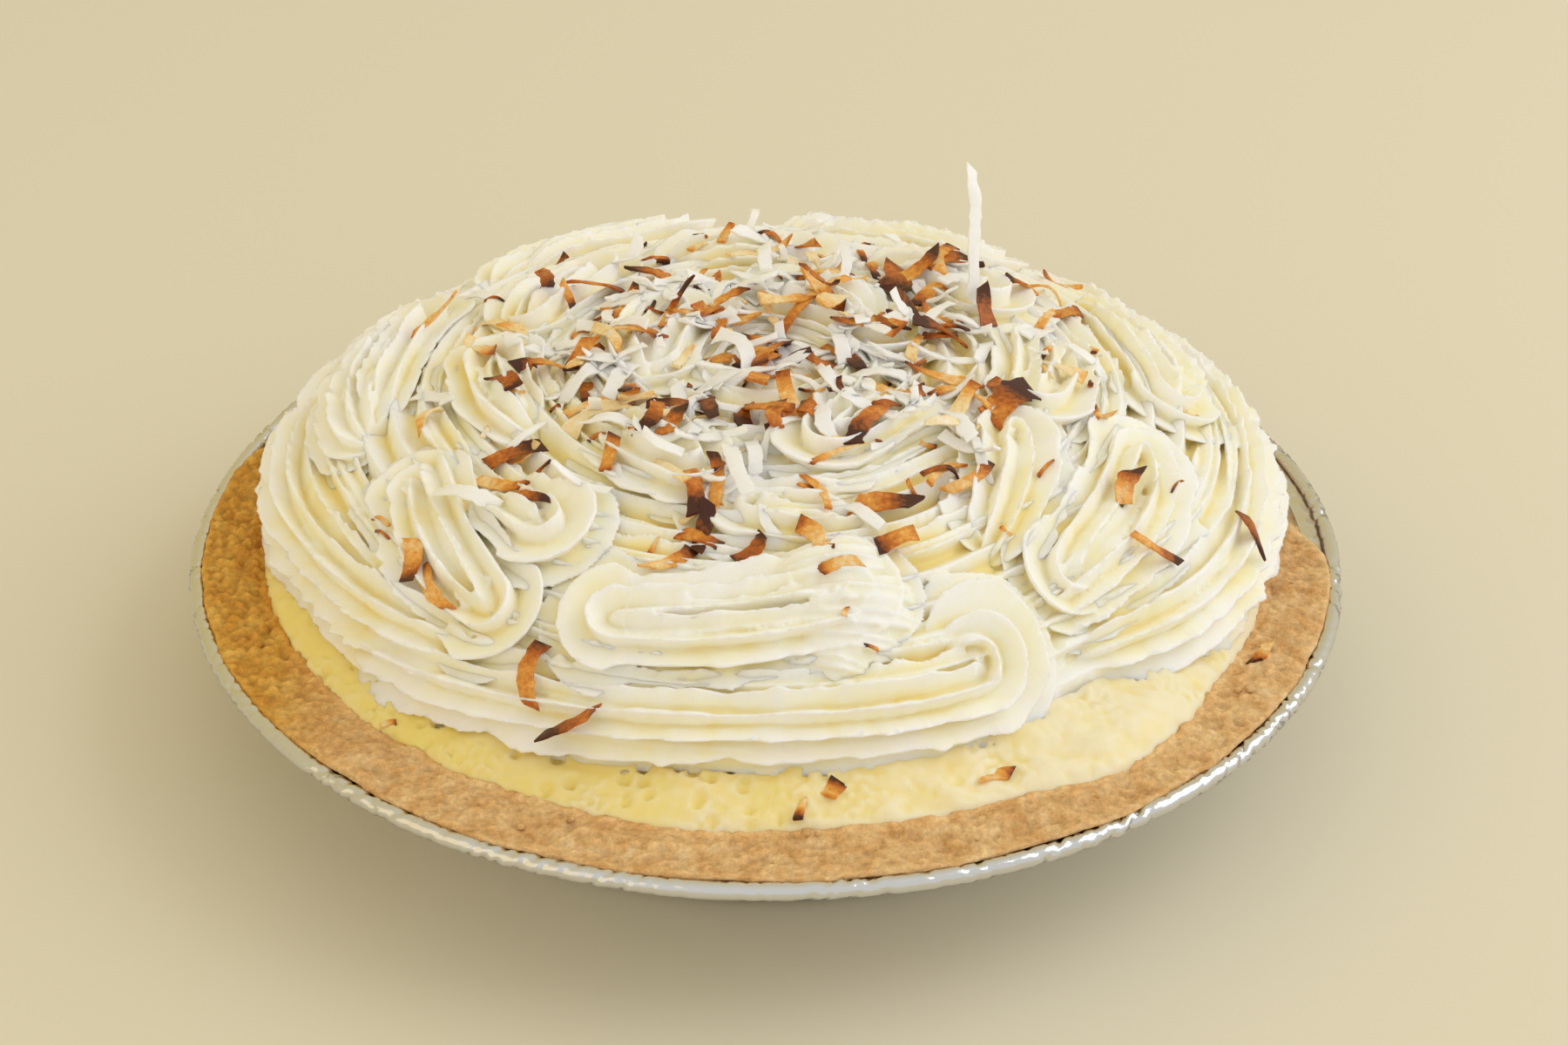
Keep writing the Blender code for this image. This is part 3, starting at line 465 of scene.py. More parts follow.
def set_values(mesh, name, values):
    """Gives each vertex a number that the mesh's material reads under this name."""
    attribute = mesh.attributes.new(name, "FLOAT", "POINT")
    attribute.data.foreach_set("value", values.astype(np.float32))


def mark_cavity(mesh, rounds):
    """Gives each vertex how far it lies below its surroundings; crests are negative."""
    count = len(mesh.vertices)
    edges = np.empty(len(mesh.edges) * 2, np.int32)
    mesh.edges.foreach_get("vertices", edges)
    first, second = edges.reshape(-1, 2).T
    points = mesh_points(mesh)
    links = np.maximum(1, np.bincount(edges, minlength=count))
    smooth = points.copy()
    for _ in range(rounds):
        for axis in range(3):
            column = smooth[:, axis].copy()
            total = np.bincount(first, column[second], count)
            total += np.bincount(second, column[first], count)
            smooth[:, axis] = total / links
    normals = np.empty(count * 3, np.float32)
    mesh.vertex_normals.foreach_get("vector", normals)
    set_values(mesh, "cavity", ((smooth - points) * normals.reshape(-1, 3)).sum(axis=1))


def surface_of(*names):
    """Search tree over the faces of some pieces."""
    builder = bmesh.new()
    for name in names:
        builder.from_mesh(bpy.data.objects[name].data)
    surface = BVHTree.FromBMesh(builder)
    builder.free()
    return surface


def level_below(surface, x, y):
    """Level of the highest point of a surface at a place, or None past its edge."""
    above = Vector((x * MM, y * MM, LOOKOUT_LEVEL))
    hit, _, _, _ = surface.ray_cast(above, Vector((0.0, 0.0, -1.0)))
    return None if hit is None else hit.z / MM


# Foil pan

def foil_material(settings):
    """Aluminium foil, rolled bright and pressed into pleats.

    It gives the eye a pale silver mirror, broken up by creases and by faint rolling lines.
    """
    material, tree = new_material("bright_aluminium_foil")
    where = add_node(tree, "ShaderNodeTexCoord").outputs["Object"]
    crumple = add_node(tree, "ShaderNodeTexNoise",
                       {"Vector": where, "Scale": per_mm(2.6), "Detail": 4.0, "Roughness": 0.6})
    rolling = add_node(tree, "ShaderNodeMapping", {"Vector": where, "Scale": (1.0, 14.0, 1.0)})
    lines = add_node(tree, "ShaderNodeTexNoise",
                     {"Vector": rolling.outputs["Vector"], "Scale": per_mm(5.0), "Detail": 2.0})
    shine = add_node(tree, "ShaderNodeMapRange",
                     {"Value": lines.outputs["Fac"], "From Min": 0.3, "From Max": 0.7,
                      "To Min": settings.roughness - 0.05, "To Max": settings.roughness + 0.08})
    relief = add_node(tree, "ShaderNodeBump",
                      {"Height": crumple.outputs["Fac"], "Strength": 0.35,
                       "Distance": 0.25 * MM})
    shader = add_node(tree, "ShaderNodeBsdfPrincipled",
                      {"Base Color": settings.colour, "Metallic": 1.0,
                       "Roughness": shine.outputs["Result"], "Normal": relief.outputs["Normal"]})
    add_node(tree, "ShaderNodeOutputMaterial", {"Surface": shader.outputs["BSDF"]})
    return material


def crease_field(clusters, widest, deepest, seed):
    """Sharp creases across the rolled edge, in clusters with calm stretches between."""
    draw = random.Random(seed)
    degrees = np.arange(PAN_COLUMNS) * 360.0 / PAN_COLUMNS
    field = np.zeros(PAN_COLUMNS)
    for _ in range(clusters):
        centre = draw.uniform(0.0, 360.0)
        for _ in range(draw.randint(3, 9)):
            place = centre + draw.gauss(0.0, 2.2)
            half = draw.uniform(0.22, widest)
            depth = draw.uniform(-0.35, 1.0) * deepest
            offset = np.abs((degrees - place + 180.0) % 360.0 - 180.0)
            field -= depth * np.clip(1.0 - offset / half, 0.0, None)
    return field


def pan_profile(column, creases, fine):
    """Section of the pan: its inside, the rolled edge and its outside."""
    azimuth = column * 360.0 / PAN_COLUMNS
    sway = 0.3 * ring_wobble(azimuth, 4.0, 20.0)
    dip = 0.25 * ring_wobble(azimuth, 5.0, 30.0)
    phase = (azimuth * PLEATS / 360.0) % 1.0
    pleat = PLEAT_DEPTH * (1.0 - 4.0 * abs(phase - 0.5))
    pleat += 0.25 * ring_wobble(azimuth, 24.0, 3.0)
    flange = FLANGE_LEVEL + 0.16 * ring_wobble(azimuth, 40.0, 9.0)
    wall_top = FLANGE_LEVEL - FOIL - 0.5
    bead_middle = RIM_RADIUS - BEAD_RADIUS + sway - 0.2 + 0.3 * creases[column]
    neck = RIM_RADIUS - 2.0 * BEAD_RADIUS + 0.05 + sway
    profile = [
        (CAP_RADIUS, FOIL), (40.0, FOIL), (BASE_RADIUS - 0.3, FOIL),
        (BASE_RADIUS + BASE_CORNER - 0.5 + 0.3 * pleat, 1.2 + FOIL),
        (WALL_TOP_RADIUS - 0.55 + pleat, wall_top),
        (WALL_TOP_RADIUS + 0.2, FLANGE_LEVEL),
        (WALL_TOP_RADIUS + 3.6, flange + 0.1 * fine[column]),
        (neck - 0.3, flange + 0.3 * creases[column]),
    ]
    for step in range(BEAD_ROWS):
        turn = math.radians(170.0 - 340.0 * step / (BEAD_ROWS - 1))
        along = creases[(column + round(1.1 * step)) % PAN_COLUMNS]
        back = fine[(column - round(0.8 * step)) % PAN_COLUMNS]
        bead = BEAD_RADIUS - 0.12 + 0.55 * along + 0.5 * back
        profile.append((bead_middle + bead * math.cos(turn),
                        RIM_LEVEL + dip + bead * math.sin(turn)))
    profile += [(neck - 0.2, flange - FOIL), (WALL_TOP_RADIUS + 0.7, FLANGE_LEVEL - FOIL)]
    for step in range(WALL_ROWS):
        share = step / (WALL_ROWS - 1)
        fade = min(1.0, 4.0 * (1.0 - share)) * (0.7 + 0.3 * share)
        buckle = 0.12 * ring_wobble(azimuth, 30.0, share * 5.0)
        radius = WALL_TOP_RADIUS + (BASE_RADIUS + BASE_CORNER - WALL_TOP_RADIUS) * share
        profile.append((radius + pleat * fade + buckle,
                        wall_top - 0.3 + (1.5 - wall_top) * share))
    return profile + [(BASE_RADIUS, 0.0), (CAP_RADIUS, 0.0)]


class FoilPanSettings(PropertyGroup):
    colour: FloatVectorProperty(
        name="Foil", description="Colour of the bare aluminium", subtype="COLOR", size=4,
        min=0.0, max=1.0, default=linear("#D9D9DA"))
    roughness: FloatProperty(
        name="Roughness", description="How much the foil blurs what it mirrors",
        default=0.18, min=0.05, max=0.6)
    crease_depth: FloatProperty(
        name="Crease depth", description="Depth of the creases across the rolled edge",
        default=0.75 * MM, unit="LENGTH")


class PIE_OT_foil_pan(Operator):
    """Makes the pleated foil pan with its crinkled rolled edge"""
    bl_idname = "pie.foil_pan"
    bl_label = "Foil pan"

    def execute(self, context):
        settings = context.scene.pie_foil_pan
        deepest = settings.crease_depth / MM
        creases = crease_field(*CREASES, deepest, seed=5)
        fine = crease_field(*FINE_CREASES, 0.6 * deepest, seed=6)
        profiles = [pan_profile(column, creases, fine) for column in range(PAN_COLUMNS)]
        turned_piece("foil_pan_crinkled", profiles, foil_material(settings), "foil", "foil_pan")
        return {"FINISHED"}


# Pastry crust

def pastry_material():
    """Shortcrust pastry, rolled out and baked dry.

    It gives the eye a matte, mottled tan with paler flakes and browner blisters, and a more
    golden stretch on the left, where the edge caught the heat. Painted shade darkens its pits,
    and a painted highlight lightens its raised flakes.
    """
    material, tree = new_material("baked_shortcrust_pastry")
    where = add_node(tree, "ShaderNodeTexCoord").outputs["Object"]
    mottle = add_node(tree, "ShaderNodeTexNoise",
                      {"Vector": where, "Scale": per_mm(6.0), "Detail": 7.0,
                       "Roughness": 0.75}).outputs["Fac"]
    tan = add_node(tree, "ShaderNodeValToRGB", {"Fac": mottle},
                   stops=((0.30, linear("#C48A46")), (0.45, linear("#E2B274")),
                          (0.60, linear("#F0C990")), (0.74, linear("#F8E2BA"))))
    golden = add_node(tree, "ShaderNodeValToRGB", {"Fac": mottle},
                      stops=((0.32, linear("#B87220")), (0.48, linear("#DCA03A")),
                             (0.62, linear("#E9B856")), (0.78, linear("#F2D288"))))
    side = add_node(tree, "ShaderNodeSeparateXYZ", {"Vector": where})
    left = add_node(tree, "ShaderNodeMapRange",
                    {"Value": side.outputs["X"], "From Min": -94 * MM, "From Max": -72 * MM,
                     "To Min": 1.0, "To Max": 0.0}, interpolation_type="SMOOTHSTEP")
    body = add_node(tree, "ShaderNodeMix",
                    {"Factor": left.outputs["Result"], "A": tan.outputs["Color"],
                     "B": golden.outputs["Color"]}, data_type="RGBA")
    grit = add_node(tree, "ShaderNodeTexNoise",
                    {"Vector": where, "Scale": per_mm(1.1), "Detail": 5.0,
                     "Roughness": 0.75}).outputs["Fac"]
    speck = add_node(tree, "ShaderNodeMapRange",
                     {"Value": grit, "From Min": 0.36, "From Max": 0.62,
                      "To Min": 0.80, "To Max": 1.10})
    # Painted shade: darker in the pits, with a painted highlight on the raised flakes
    cavity = add_node(tree, "ShaderNodeAttribute", attribute_name="cavity").outputs["Fac"]
    pit = add_node(tree, "ShaderNodeMapRange",
                   {"Value": cavity, "From Min": -0.30, "From Max": 0.35,
                    "To Min": 1.10, "To Max": 0.82})
    grit_and_painted_shade = add_node(tree, "ShaderNodeMath",
                      {0: speck.outputs["Result"], 1: pit.outputs["Result"]},
                      operation="MULTIPLY")
    coloured = add_node(tree, "ShaderNodeMix",
                        {"Factor": 1.0, "A": body.outputs["Result"],
                         "B": grit_and_painted_shade.outputs["Value"]}, data_type="RGBA", blend_type="MULTIPLY")
    relief = add_node(tree, "ShaderNodeBump",
                      {"Height": grit, "Strength": 0.8, "Distance": 0.5 * MM})
    shader = add_node(tree, "ShaderNodeBsdfPrincipled",
                      {"Base Color": coloured.outputs["Result"], "Roughness": 0.68,
                       "IOR": 1.45, "Normal": relief.outputs["Normal"],
                       "Subsurface Weight": 0.08, "Subsurface Radius": (1.0, 0.5, 0.25),
                       "Subsurface Scale": 1.2 * MM})
    add_node(tree, "ShaderNodeOutputMaterial", {"Surface": shader.outputs["BSDF"]})
    return material


def flaky_relief(x, y, azimuth):
    """Height of flakes, blisters and pimples on the pastry rim; the left has more pimples."""
    broad = 0.5 * wobble(x / 12.0, y / 12.0, 1.0)
    bend = 1.5 * broad
    steps = 2.4 * wobble(x / 5.0 + bend, y / 3.4, 4.0) + 1.3 * wobble(x / 2.0, y / 1.6, 6.0)
    layers = 0.38 * (math.floor(steps) + min(1.0, 4.0 * (steps % 1.0)))
    grain = 0.3 * abs(wobble(x / 2.2, y / 2.2, 8.0)) + 0.25 * wobble(x, y, 5.0)
    left = max(hump(azimuth, -82.0, 32.0), 0.1)
    cell = noise.voronoi((x / 2.1, y / 2.1, 9.0))[0][0]
    pimples = 2.4 * left * (0.50 - cell)
    return broad + layers * (1.0 - 0.75 * left) + grain + pimples - 0.3


def crust_profile(azimuth, strength):
    """Section of the crust: floor, inner wall, flaky top, ragged edge and underside."""
    around = direction(azimuth)
    inner = crust_inner_radius(azimuth)
    ragged = 0.5 * ring_wobble(azimuth, 16.0, 12.0)
    ragged += 0.4 * abs(ring_wobble(azimuth, 42.0, 2.0))
    outer = crust_outer_radius(azimuth) + FLAKY_OVERHANG + ragged
    profile = [(CAP_RADIUS, CRUST_FLOOR_LEVEL), (CRUST_FLOOR_RADIUS, CRUST_FLOOR_LEVEL),
               (CRUST_WALL_RADIUS, CRUST_WALL_LEVEL)]
    for step in range(CRUST_TOP_ROWS):
        share = step / (CRUST_TOP_ROWS - 1)
        radius = inner + share * (outer - inner)
        edge = min(1.0, 6.0 * (1.0 - share) + 0.25)
        relief = strength * edge * flaky_relief(around.x * radius, around.y * radius, azimuth)
        lip = 0.9 * max(0.0, share - 0.7) / 0.3
        profile.append((radius, crust_rim_level(azimuth, share) + relief + lip))
    top = profile[-1][1]
    under = RIM_LEVEL + 0.85 + 0.25 * ragged
    for step in range(1, CRUST_SIDE_ROWS + 1):
        share = step / CRUST_SIDE_ROWS
        layer = 0.22 * ring_wobble(azimuth, 50.0, step * 2.3)
        bulge = 0.35 * math.sin(math.pi * share)
        profile.append((outer + bulge + layer, top + (min(under, top - 0.6) - top) * share))
    return profile + [
        (WALL_TOP_RADIUS + 5.0, FLANGE_LEVEL + 0.5), (WALL_TOP_RADIUS - 0.9, FLANGE_LEVEL),
        (BASE_RADIUS + BASE_CORNER - 1.9, 2.2), (BASE_RADIUS - 1.6, CRUST_BOTTOM),
        (CAP_RADIUS, CRUST_BOTTOM),
    ]


class CrustSettings(PropertyGroup):
    relief: FloatProperty(
        name="Relief", description="Height of flakes and blisters against the measured one",
        default=1.0, min=0.0, max=2.0)


class PIE_OT_crust(Operator):
    """Makes the pastry shell with its flaky, uneven rim"""
    bl_idname = "pie.crust"
    bl_label = "Pastry crust"

    def execute(self, context):
        strength = context.scene.pie_crust.relief
        profiles = [crust_profile(column * 360.0 / CRUST_COLUMNS, strength)
                    for column in range(CRUST_COLUMNS)]
        crust = turned_piece("pastry_crust_flaky", profiles, pastry_material(), "pastry", "crust")
        mark_cavity(crust.data, rounds=7)
        return {"FINISHED"}


# Custard

def custard_material(settings):
    """Vanilla custard, cooked thick and set.

    It gives the eye a pale warm yellow that lets a little light in, with a glossy skin that
    turns dull where it is porous. Painted shade darkens its pits and hollows, and a painted
    highlight lightens its bumps.
    """
    material, tree = new_material("set_vanilla_custard")
    where = add_node(tree, "ShaderNodeTexCoord").outputs["Object"]
    cloud = add_node(tree, "ShaderNodeTexNoise",
                     {"Vector": where, "Scale": per_mm(14.0), "Detail": 4.0,
                      "Roughness": 0.6}).outputs["Fac"]
    side = add_node(tree, "ShaderNodeSeparateXYZ", {"Vector": where})
    right = add_node(tree, "ShaderNodeMapRange",
                     {"Value": side.outputs["X"], "From Min": -60 * MM, "From Max": 45 * MM,
                      "To Min": -0.18, "To Max": 0.20})
    cavity = add_node(tree, "ShaderNodeAttribute", attribute_name="cavity").outputs["Fac"]
    # Painted shade: darker in the pits and hollows, a little lighter on the bumps
    painted_cavity_shade = add_node(tree, "ShaderNodeMapRange",
                      {"Value": cavity, "From Min": -0.2, "From Max": 0.4,
                       "To Min": 0.10, "To Max": -0.30})
    cloud_and_painted_shade = add_node(tree, "ShaderNodeMath",
                       {0: cloud, 1: painted_cavity_shade.outputs["Result"]}, operation="ADD")
    paler = add_node(tree, "ShaderNodeMath",
                     {0: cloud_and_painted_shade.outputs["Value"], 1: right.outputs["Result"]},
                     operation="ADD")
    yellow = add_node(tree, "ShaderNodeValToRGB", {"Fac": paler.outputs["Value"]},
                      stops=((0.25, linear("#F6E288")), (0.50, linear("#F5E3A0")),
                             (0.75, linear("#F7EBC8"))))
    pores = add_node(tree, "ShaderNodeTexNoise",
                     {"Vector": where, "Scale": per_mm(0.9), "Detail": 4.0,
                      "Roughness": 0.7}).outputs["Fac"]
    gloss = add_node(tree, "ShaderNodeMapRange",
                     {"Value": cloud, "From Min": 0.38, "From Max": 0.62,
                      "To Min": 0.30, "To Max": 0.55})
    relief = add_node(tree, "ShaderNodeBump",
                      {"Height": pores, "Strength": 0.35, "Distance": 0.3 * MM})
    shader = add_node(tree, "ShaderNodeBsdfPrincipled",
                      {"Base Color": yellow.outputs["Color"],
                       "Roughness": gloss.outputs["Result"], "IOR": 1.42,
                       "Normal": relief.outputs["Normal"],
                       "Subsurface Weight": settings.softness,
                       "Subsurface Radius": (1.0, 0.7, 0.25), "Subsurface Scale": 2.0 * MM})
    add_node(tree, "ShaderNodeOutputMaterial", {"Surface": shader.outputs["BSDF"]})
    return material


def custard_relief(x, y, azimuth):
    """Pits, pores and smears on the custard; the left front has most of the pits."""
    front_left = max(hump(azimuth, -28.0, 34.0), 0.2)
    cells, feet = noise.voronoi((x / 3.4, y / 3.4, 2.0))
    chosen = wobble(feet[0].x * 3.1, feet[0].y * 3.1, 6.0)
    pit = -1.8 * front_left * max(0.0, 1.0 - cells[0] / 0.42) ** 0.6 * (chosen > 0.0)
    rough = max(0.0, wobble(x / 11.0, y / 11.0, 14.0) + 0.2) * (0.5 + front_left)
    porous = 1.2 * rough * wobble(x / 1.3, y / 1.3, 3.0)
    smear = 0.8 * wobble(x / 9.0, y / 4.5, 11.0) + 0.3 * wobble(x / 3.0, y / 2.2, 21.0)
    return pit + porous + smear


def custard_profile(azimuth, strength):
    """Section of the custard: its domed top, rough only near the edge, its side and its floor."""
    around = direction(azimuth)
    edge = crust_inner_radius(azimuth) + OVERLAP
    profile = []
    for share in (0.005, 0.4, 0.7, 0.8, *np.linspace(0.84, 1.0, CUSTARD_EDGE_ROWS)):
        radius = share * edge
        shown = min(1.0, max(0.0, (share - 0.82) / 0.02))
        relief = strength * shown * custard_relief(around.x * radius, around.y * radius, azimuth)
        profile.append((radius, custard_level(share, azimuth) + relief))
    profile[-1] = (edge + 0.1, profile[-1][1] - 0.7)
    return profile + [
        (edge, CUSTARD_EDGE_LEVEL - 1.2), (edge - 0.4, CUSTARD_EDGE_LEVEL - 1.6),
        (CRUST_WALL_RADIUS - GAP, CRUST_WALL_LEVEL + GAP),
        (CRUST_FLOOR_RADIUS - GAP, CRUST_FLOOR_LEVEL + GAP),
        (CAP_RADIUS, CRUST_FLOOR_LEVEL + GAP),
    ]


class CustardSettings(PropertyGroup):
    softness: FloatProperty(
        name="Softness", description="Share of light that wanders inside the custard",
        default=0.35, min=0.0, max=1.0)
    relief: FloatProperty(
        name="Relief", description="Depth of pits and smears against the measured one",
        default=1.0, min=0.0, max=2.0)


class PIE_OT_custard(Operator):
    """Makes the custard that fills the crust, pitted and smeared along its edge"""
    bl_idname = "pie.custard"
    bl_label = "Custard"

    def execute(self, context):
        settings = context.scene.pie_custard
        profiles = [custard_profile(column * 360.0 / CUSTARD_COLUMNS, settings.relief)
                    for column in range(CUSTARD_COLUMNS)]
        custard = turned_piece("custard_pitted", profiles, custard_material(settings),
                               "custard", "custard")
        mark_cavity(custard.data, rounds=7)
        return {"FINISHED"}


# Piped cream

def cream_edge_radius(azimuth):
    """Edge of the cream at azimuths in degrees, smooth all the way round."""
    knots, radii = np.array(CREAM_EDGE, float).T
    spread = np.arange(-9.0, 9.5, 3.0)
    around = (np.asarray(azimuth, float)[..., None] + spread + 180.0) % 360.0 - 180.0
    return np.interp(around, knots, radii, period=360.0).mean(axis=-1)


def on_dome(points):
    """Places and normals on the dome, in millimetres, for points (n, 2) of the flat disc."""
    points = np.asarray(points, float)
    distance = np.hypot(points[:, 0], points[:, 1])
    azimuth = np.degrees(np.arctan2(points[:, 0], -points[:, 1]))
    edge = cream_edge_radius(azimuth)
    height = CREAM_TOP - CREAM_FOOT
    swing = np.linspace(0.0, math.pi / 2.0, 90)
    unit_radius = np.sin(swing) ** (2.0 / DOME_PLAN_POWER)
    unit_level = np.cos(swing) ** (2.0 / DOME_HEIGHT_POWER)
    radius = np.empty(len(points))
    level = np.empty(len(points))
    for index, reach in enumerate(edge):
        arc_radius = unit_radius * reach
        arc_level = unit_level * height
        steps = np.hypot(np.diff(arc_radius), np.diff(arc_level))
        arc = np.concatenate(([0.0], np.cumsum(steps)))
        along = distance[index] / DISC_RADIUS * arc[-1]
        radius[index] = np.interp(along, arc, arc_radius)
        level[index] = np.interp(along, arc, arc_level)
    slope = (radius / edge) ** (DOME_PLAN_POWER - 1.0) * DOME_PLAN_POWER / edge
    rise = (level / height) ** (DOME_HEIGHT_POWER - 1.0) * DOME_HEIGHT_POWER / height
    size = np.hypot(slope, rise)
    outward = np.stack([np.sin(np.radians(azimuth)), -np.cos(np.radians(azimuth))], axis=1)
    places = np.column_stack([outward * radius[:, None], level + CREAM_FOOT])
    normals = np.column_stack([outward * (slope / size)[:, None], rise / size])
    return places, normals


def dome_depth(points):
    """How far each point lies below the dome's surface, roughly, in millimetres."""
    radius = np.hypot(points[:, 0], points[:, 1])
    edge = cream_edge_radius(np.degrees(np.arctan2(points[:, 0], -points[:, 1])))
    height = CREAM_TOP - CREAM_FOOT
    level = np.clip((points[:, 2] - CREAM_FOOT) / height, 0.02, None)
    reach = np.clip(radius / edge, 0.02, None)
    value = reach ** DOME_PLAN_POWER + level ** DOME_HEIGHT_POWER
    slope = DOME_PLAN_POWER * reach ** (DOME_PLAN_POWER - 1.0) / edge
    rise = DOME_HEIGHT_POWER * level ** (DOME_HEIGHT_POWER - 1.0) / height
    return (1.0 - value) / np.hypot(slope, rise)


def spaced(points, step):
    """The same path with stations at even steps along it."""
    points = np.asarray(points, float)
    steps = np.linalg.norm(np.diff(points, axis=0), axis=1)
    arc = np.concatenate(([0.0], np.cumsum(steps)))
    stations = np.linspace(0.0, arc[-1], max(6, round(arc[-1] / step) + 1))
    return np.column_stack([np.interp(stations, arc, points[:, axis]) for axis in (0, 1)])


def skirt_path(knots, curl):
    """A rope along the foot of the dome, which may curl back up at its end."""
    azimuths, distances = zip(*knots)
    path = []
    for azimuth in np.linspace(azimuths[0], azimuths[-1], 200):
        near = azimuth + np.arange(-8.0, 9.0, 4.0)
        path.append(direction(azimuth) * float(np.interp(near, azimuths, distances).mean()))
    if curl:
        outward = direction(azimuths[-1])
        forward = direction(azimuths[-1] + 90.0)
        centre = path[-1] - outward * curl
        for turn in np.linspace(0.0, math.radians(CURL_TURN), 60)[1:]:
            path.append(centre + curl * (outward * math.cos(turn) + forward * math.sin(turn)))
    return [(point.x, point.y) for point in path]


def rounded(value):
    """Turns the sides of an ellipse straighter and its ends blunter."""
    return math.copysign(abs(value) ** END_BLUNTNESS, value)


def oval_path(azimuth, distance, half_length, half_width, slope, start, turns):
    """A long oval that winds inwards and bends along the dome's edge."""
    length = half_length - ROPE_HALF_WIDTH
    width = half_width - ROPE_HALF_WIDTH
    path = []
    for share in np.linspace(0.0, 1.0, 500):
        turn = math.tau * (start + turns * share)
        left = 1.0 - WIND_IN * share
        along = length * left * rounded(math.cos(turn))
        across = width * left * rounded(math.sin(turn))
        reach = distance + across + slope * along
        point = direction(azimuth + math.degrees(along / distance)) * reach
        path.append((point.x, point.y))
    return path


def smoothed(values, count):
    """Running mean over an odd number of rows, with the ends held."""
    half = count // 2
    padded = np.concatenate([np.repeat(values[:1], half, axis=0), values,
                             np.repeat(values[-1:], half, axis=0)])
    total = np.cumsum(np.concatenate([np.zeros_like(padded[:1]), padded]), axis=0)
    return (total[2 * half + 1:] - total[:-2 * half - 1]) / (2 * half + 1)


def line_noise(positions, lattice):
    """Smooth noise along a line from rows of random values: (rows, positions)."""
    base = np.floor(positions).astype(int)
    part = positions - base
    part = part * part * (3.0 - 2.0 * part)
    size = lattice.shape[1]
    return lattice[:, base % size] * (1.0 - part) + lattice[:, (base + 1) % size] * part


def torn_crests(arc, seed, tearing):
    """Sideways sway and ragged height of each crest along a rope, each (crests, stations)."""
    draw = np.random.default_rng(1000 + seed)
    lattice = draw.uniform(-1.0, 1.0, (5, FLUTES, 300))
    sway = 0.07 * line_noise(arc / 7.0, lattice[0]) + 0.04 * line_noise(arc / 2.2, lattice[1])
    teeth = 0.6 * line_noise(arc / 1.8, lattice[2]) + 0.55 * line_noise(arc, lattice[3])
    patches = np.clip(0.55 + 0.9 * line_noise(arc / 12.0, lattice[4]), 0.1, 1.3)
    return sway, tearing * patches * teeth


def nearest_crests(turn, roll, sway):
    """For each station and point round a rope: nearness to a crest, 0 to 1, and which crest.

    Each lip falls off steeply on its outer side, so the crests lean outwards.
    """
    ridge = turn * FLUTES / math.tau + roll
    outward = np.where(np.cos(turn) > 0.0, -1.0, 1.0)
    inner_crest = np.floor(ridge * outward)
    past = ridge * outward - inner_crest
    inner_lip = (inner_crest * outward).astype(int) % FLUTES
    outer_lip = ((inner_crest + 1.0) * outward).astype(int) % FLUTES
    falling = 1.0 - (past[None] - sway[inner_lip].T) / LIP_STEEPNESS
    rising = 1.0 - (1.0 - past[None] - sway[outer_lip].T) / (1.0 - LIP_STEEPNESS)
    crest = np.where(falling > rising, inner_lip, outer_lip)
    return np.clip(np.maximum(falling, rising), 0.0, 1.0), crest


def rope_frame(path, lift):
    """Centres, ways to the side and up, bends, and length so far, at the stations of a rope."""
    flat = smoothed(spaced(path, STATION_STEP), 5)
    places, normals = on_dome(flat)
    centres = places - normals * (ROPE_HALF_DEPTH - lift)
    tangents = np.gradient(centres, axis=0)
    paces = np.linalg.norm(tangents, axis=1)
    tangents = smoothed(tangents / paces[:, None], 5)
    tangents /= np.linalg.norm(tangents, axis=1)[:, None]
    sides = np.cross(tangents, normals)
    sides /= np.linalg.norm(sides, axis=1)[:, None]
    ups = np.cross(sides, tangents)
    bends = np.einsum("ij,ij->i", np.gradient(tangents, axis=0), sides) / paces
    bends = smoothed(bends[:, None], 7)[:, 0]
    arc = np.concatenate(([0.0], np.cumsum(paces[1:])))
    return centres, sides, ups, bends, arc


def rope_skin(path, lift, seed, tearing, roll=0.0, flute_depth=FLUTE_DEPTH,
              half_width=ROPE_HALF_WIDTH):
    """Points of one rope: (stations, round it, 3)."""
    centres, sides, ups, bends, arc = rope_frame(path, lift)
    from_end = np.minimum(arc, arc[-1] - arc) / END_LENGTH
    taper = np.sqrt(np.maximum(0.05, 1.0 - np.maximum(0.0, 1.0 - from_end) ** 2.2))
    swell = np.array([wobble(distance / 14.0, seed, 5.0) for distance in arc])
    size = taper * (1.0 + 0.07 * swell)

    turn = np.arange(SECTION_POINTS) * math.tau / SECTION_POINTS
    sway, teeth = torn_crests(arc, seed, tearing)
    near, crest = nearest_crests(turn, roll, sway)
    stations = np.arange(len(arc))[:, None]
    inset = (flute_depth * taper)[:, None] * (1.0 - near ** CREST_SHARPNESS)
    inset -= taper[:, None] * near ** 5 * teeth[crest, stations]
    width = np.cos(turn) * (half_width * size[:, None] - inset)
    height = np.sin(turn) * (ROPE_HALF_DEPTH * size[:, None] - inset)

    # A bend gathers its inner side, short of the bend's centre, and fans its outer side out
    room = (0.85 / np.maximum(np.abs(bends), 1e-4))[:, None]
    fan = (1.0 + FAN_OUT * np.minimum(1.0, 6.0 * np.abs(bends)))[:, None]
    inner = width * bends[:, None] > 0.0
    width = np.where(inner, np.clip(width, -room, room), width * fan)
    return (centres[:, None] + width[..., None] * sides[:, None]
            + height[..., None] * ups[:, None])


def core_skin():
    """Dome inside the ropes, with ridges round it that fill the gaps between them."""
    columns = 240
    azimuths = np.arange(columns) * 360.0 / columns
    rows = []
    for step in range(round(DISC_RADIUS * 0.95 / RIDGE_STEP) + 1):
        flat = [(direction(azimuth) * (step * RIDGE_STEP)).xy for azimuth in azimuths]
        places, normals = on_dome(flat)
        depth = CORE_DEPTH + (FLUTE_DEPTH if step % 2 else 0.0)
        rows.append(places - normals * depth)
    foot = rows[-1].copy()
    foot[:, 2] = RIM_LEVEL
    return np.stack([*rows, foot])


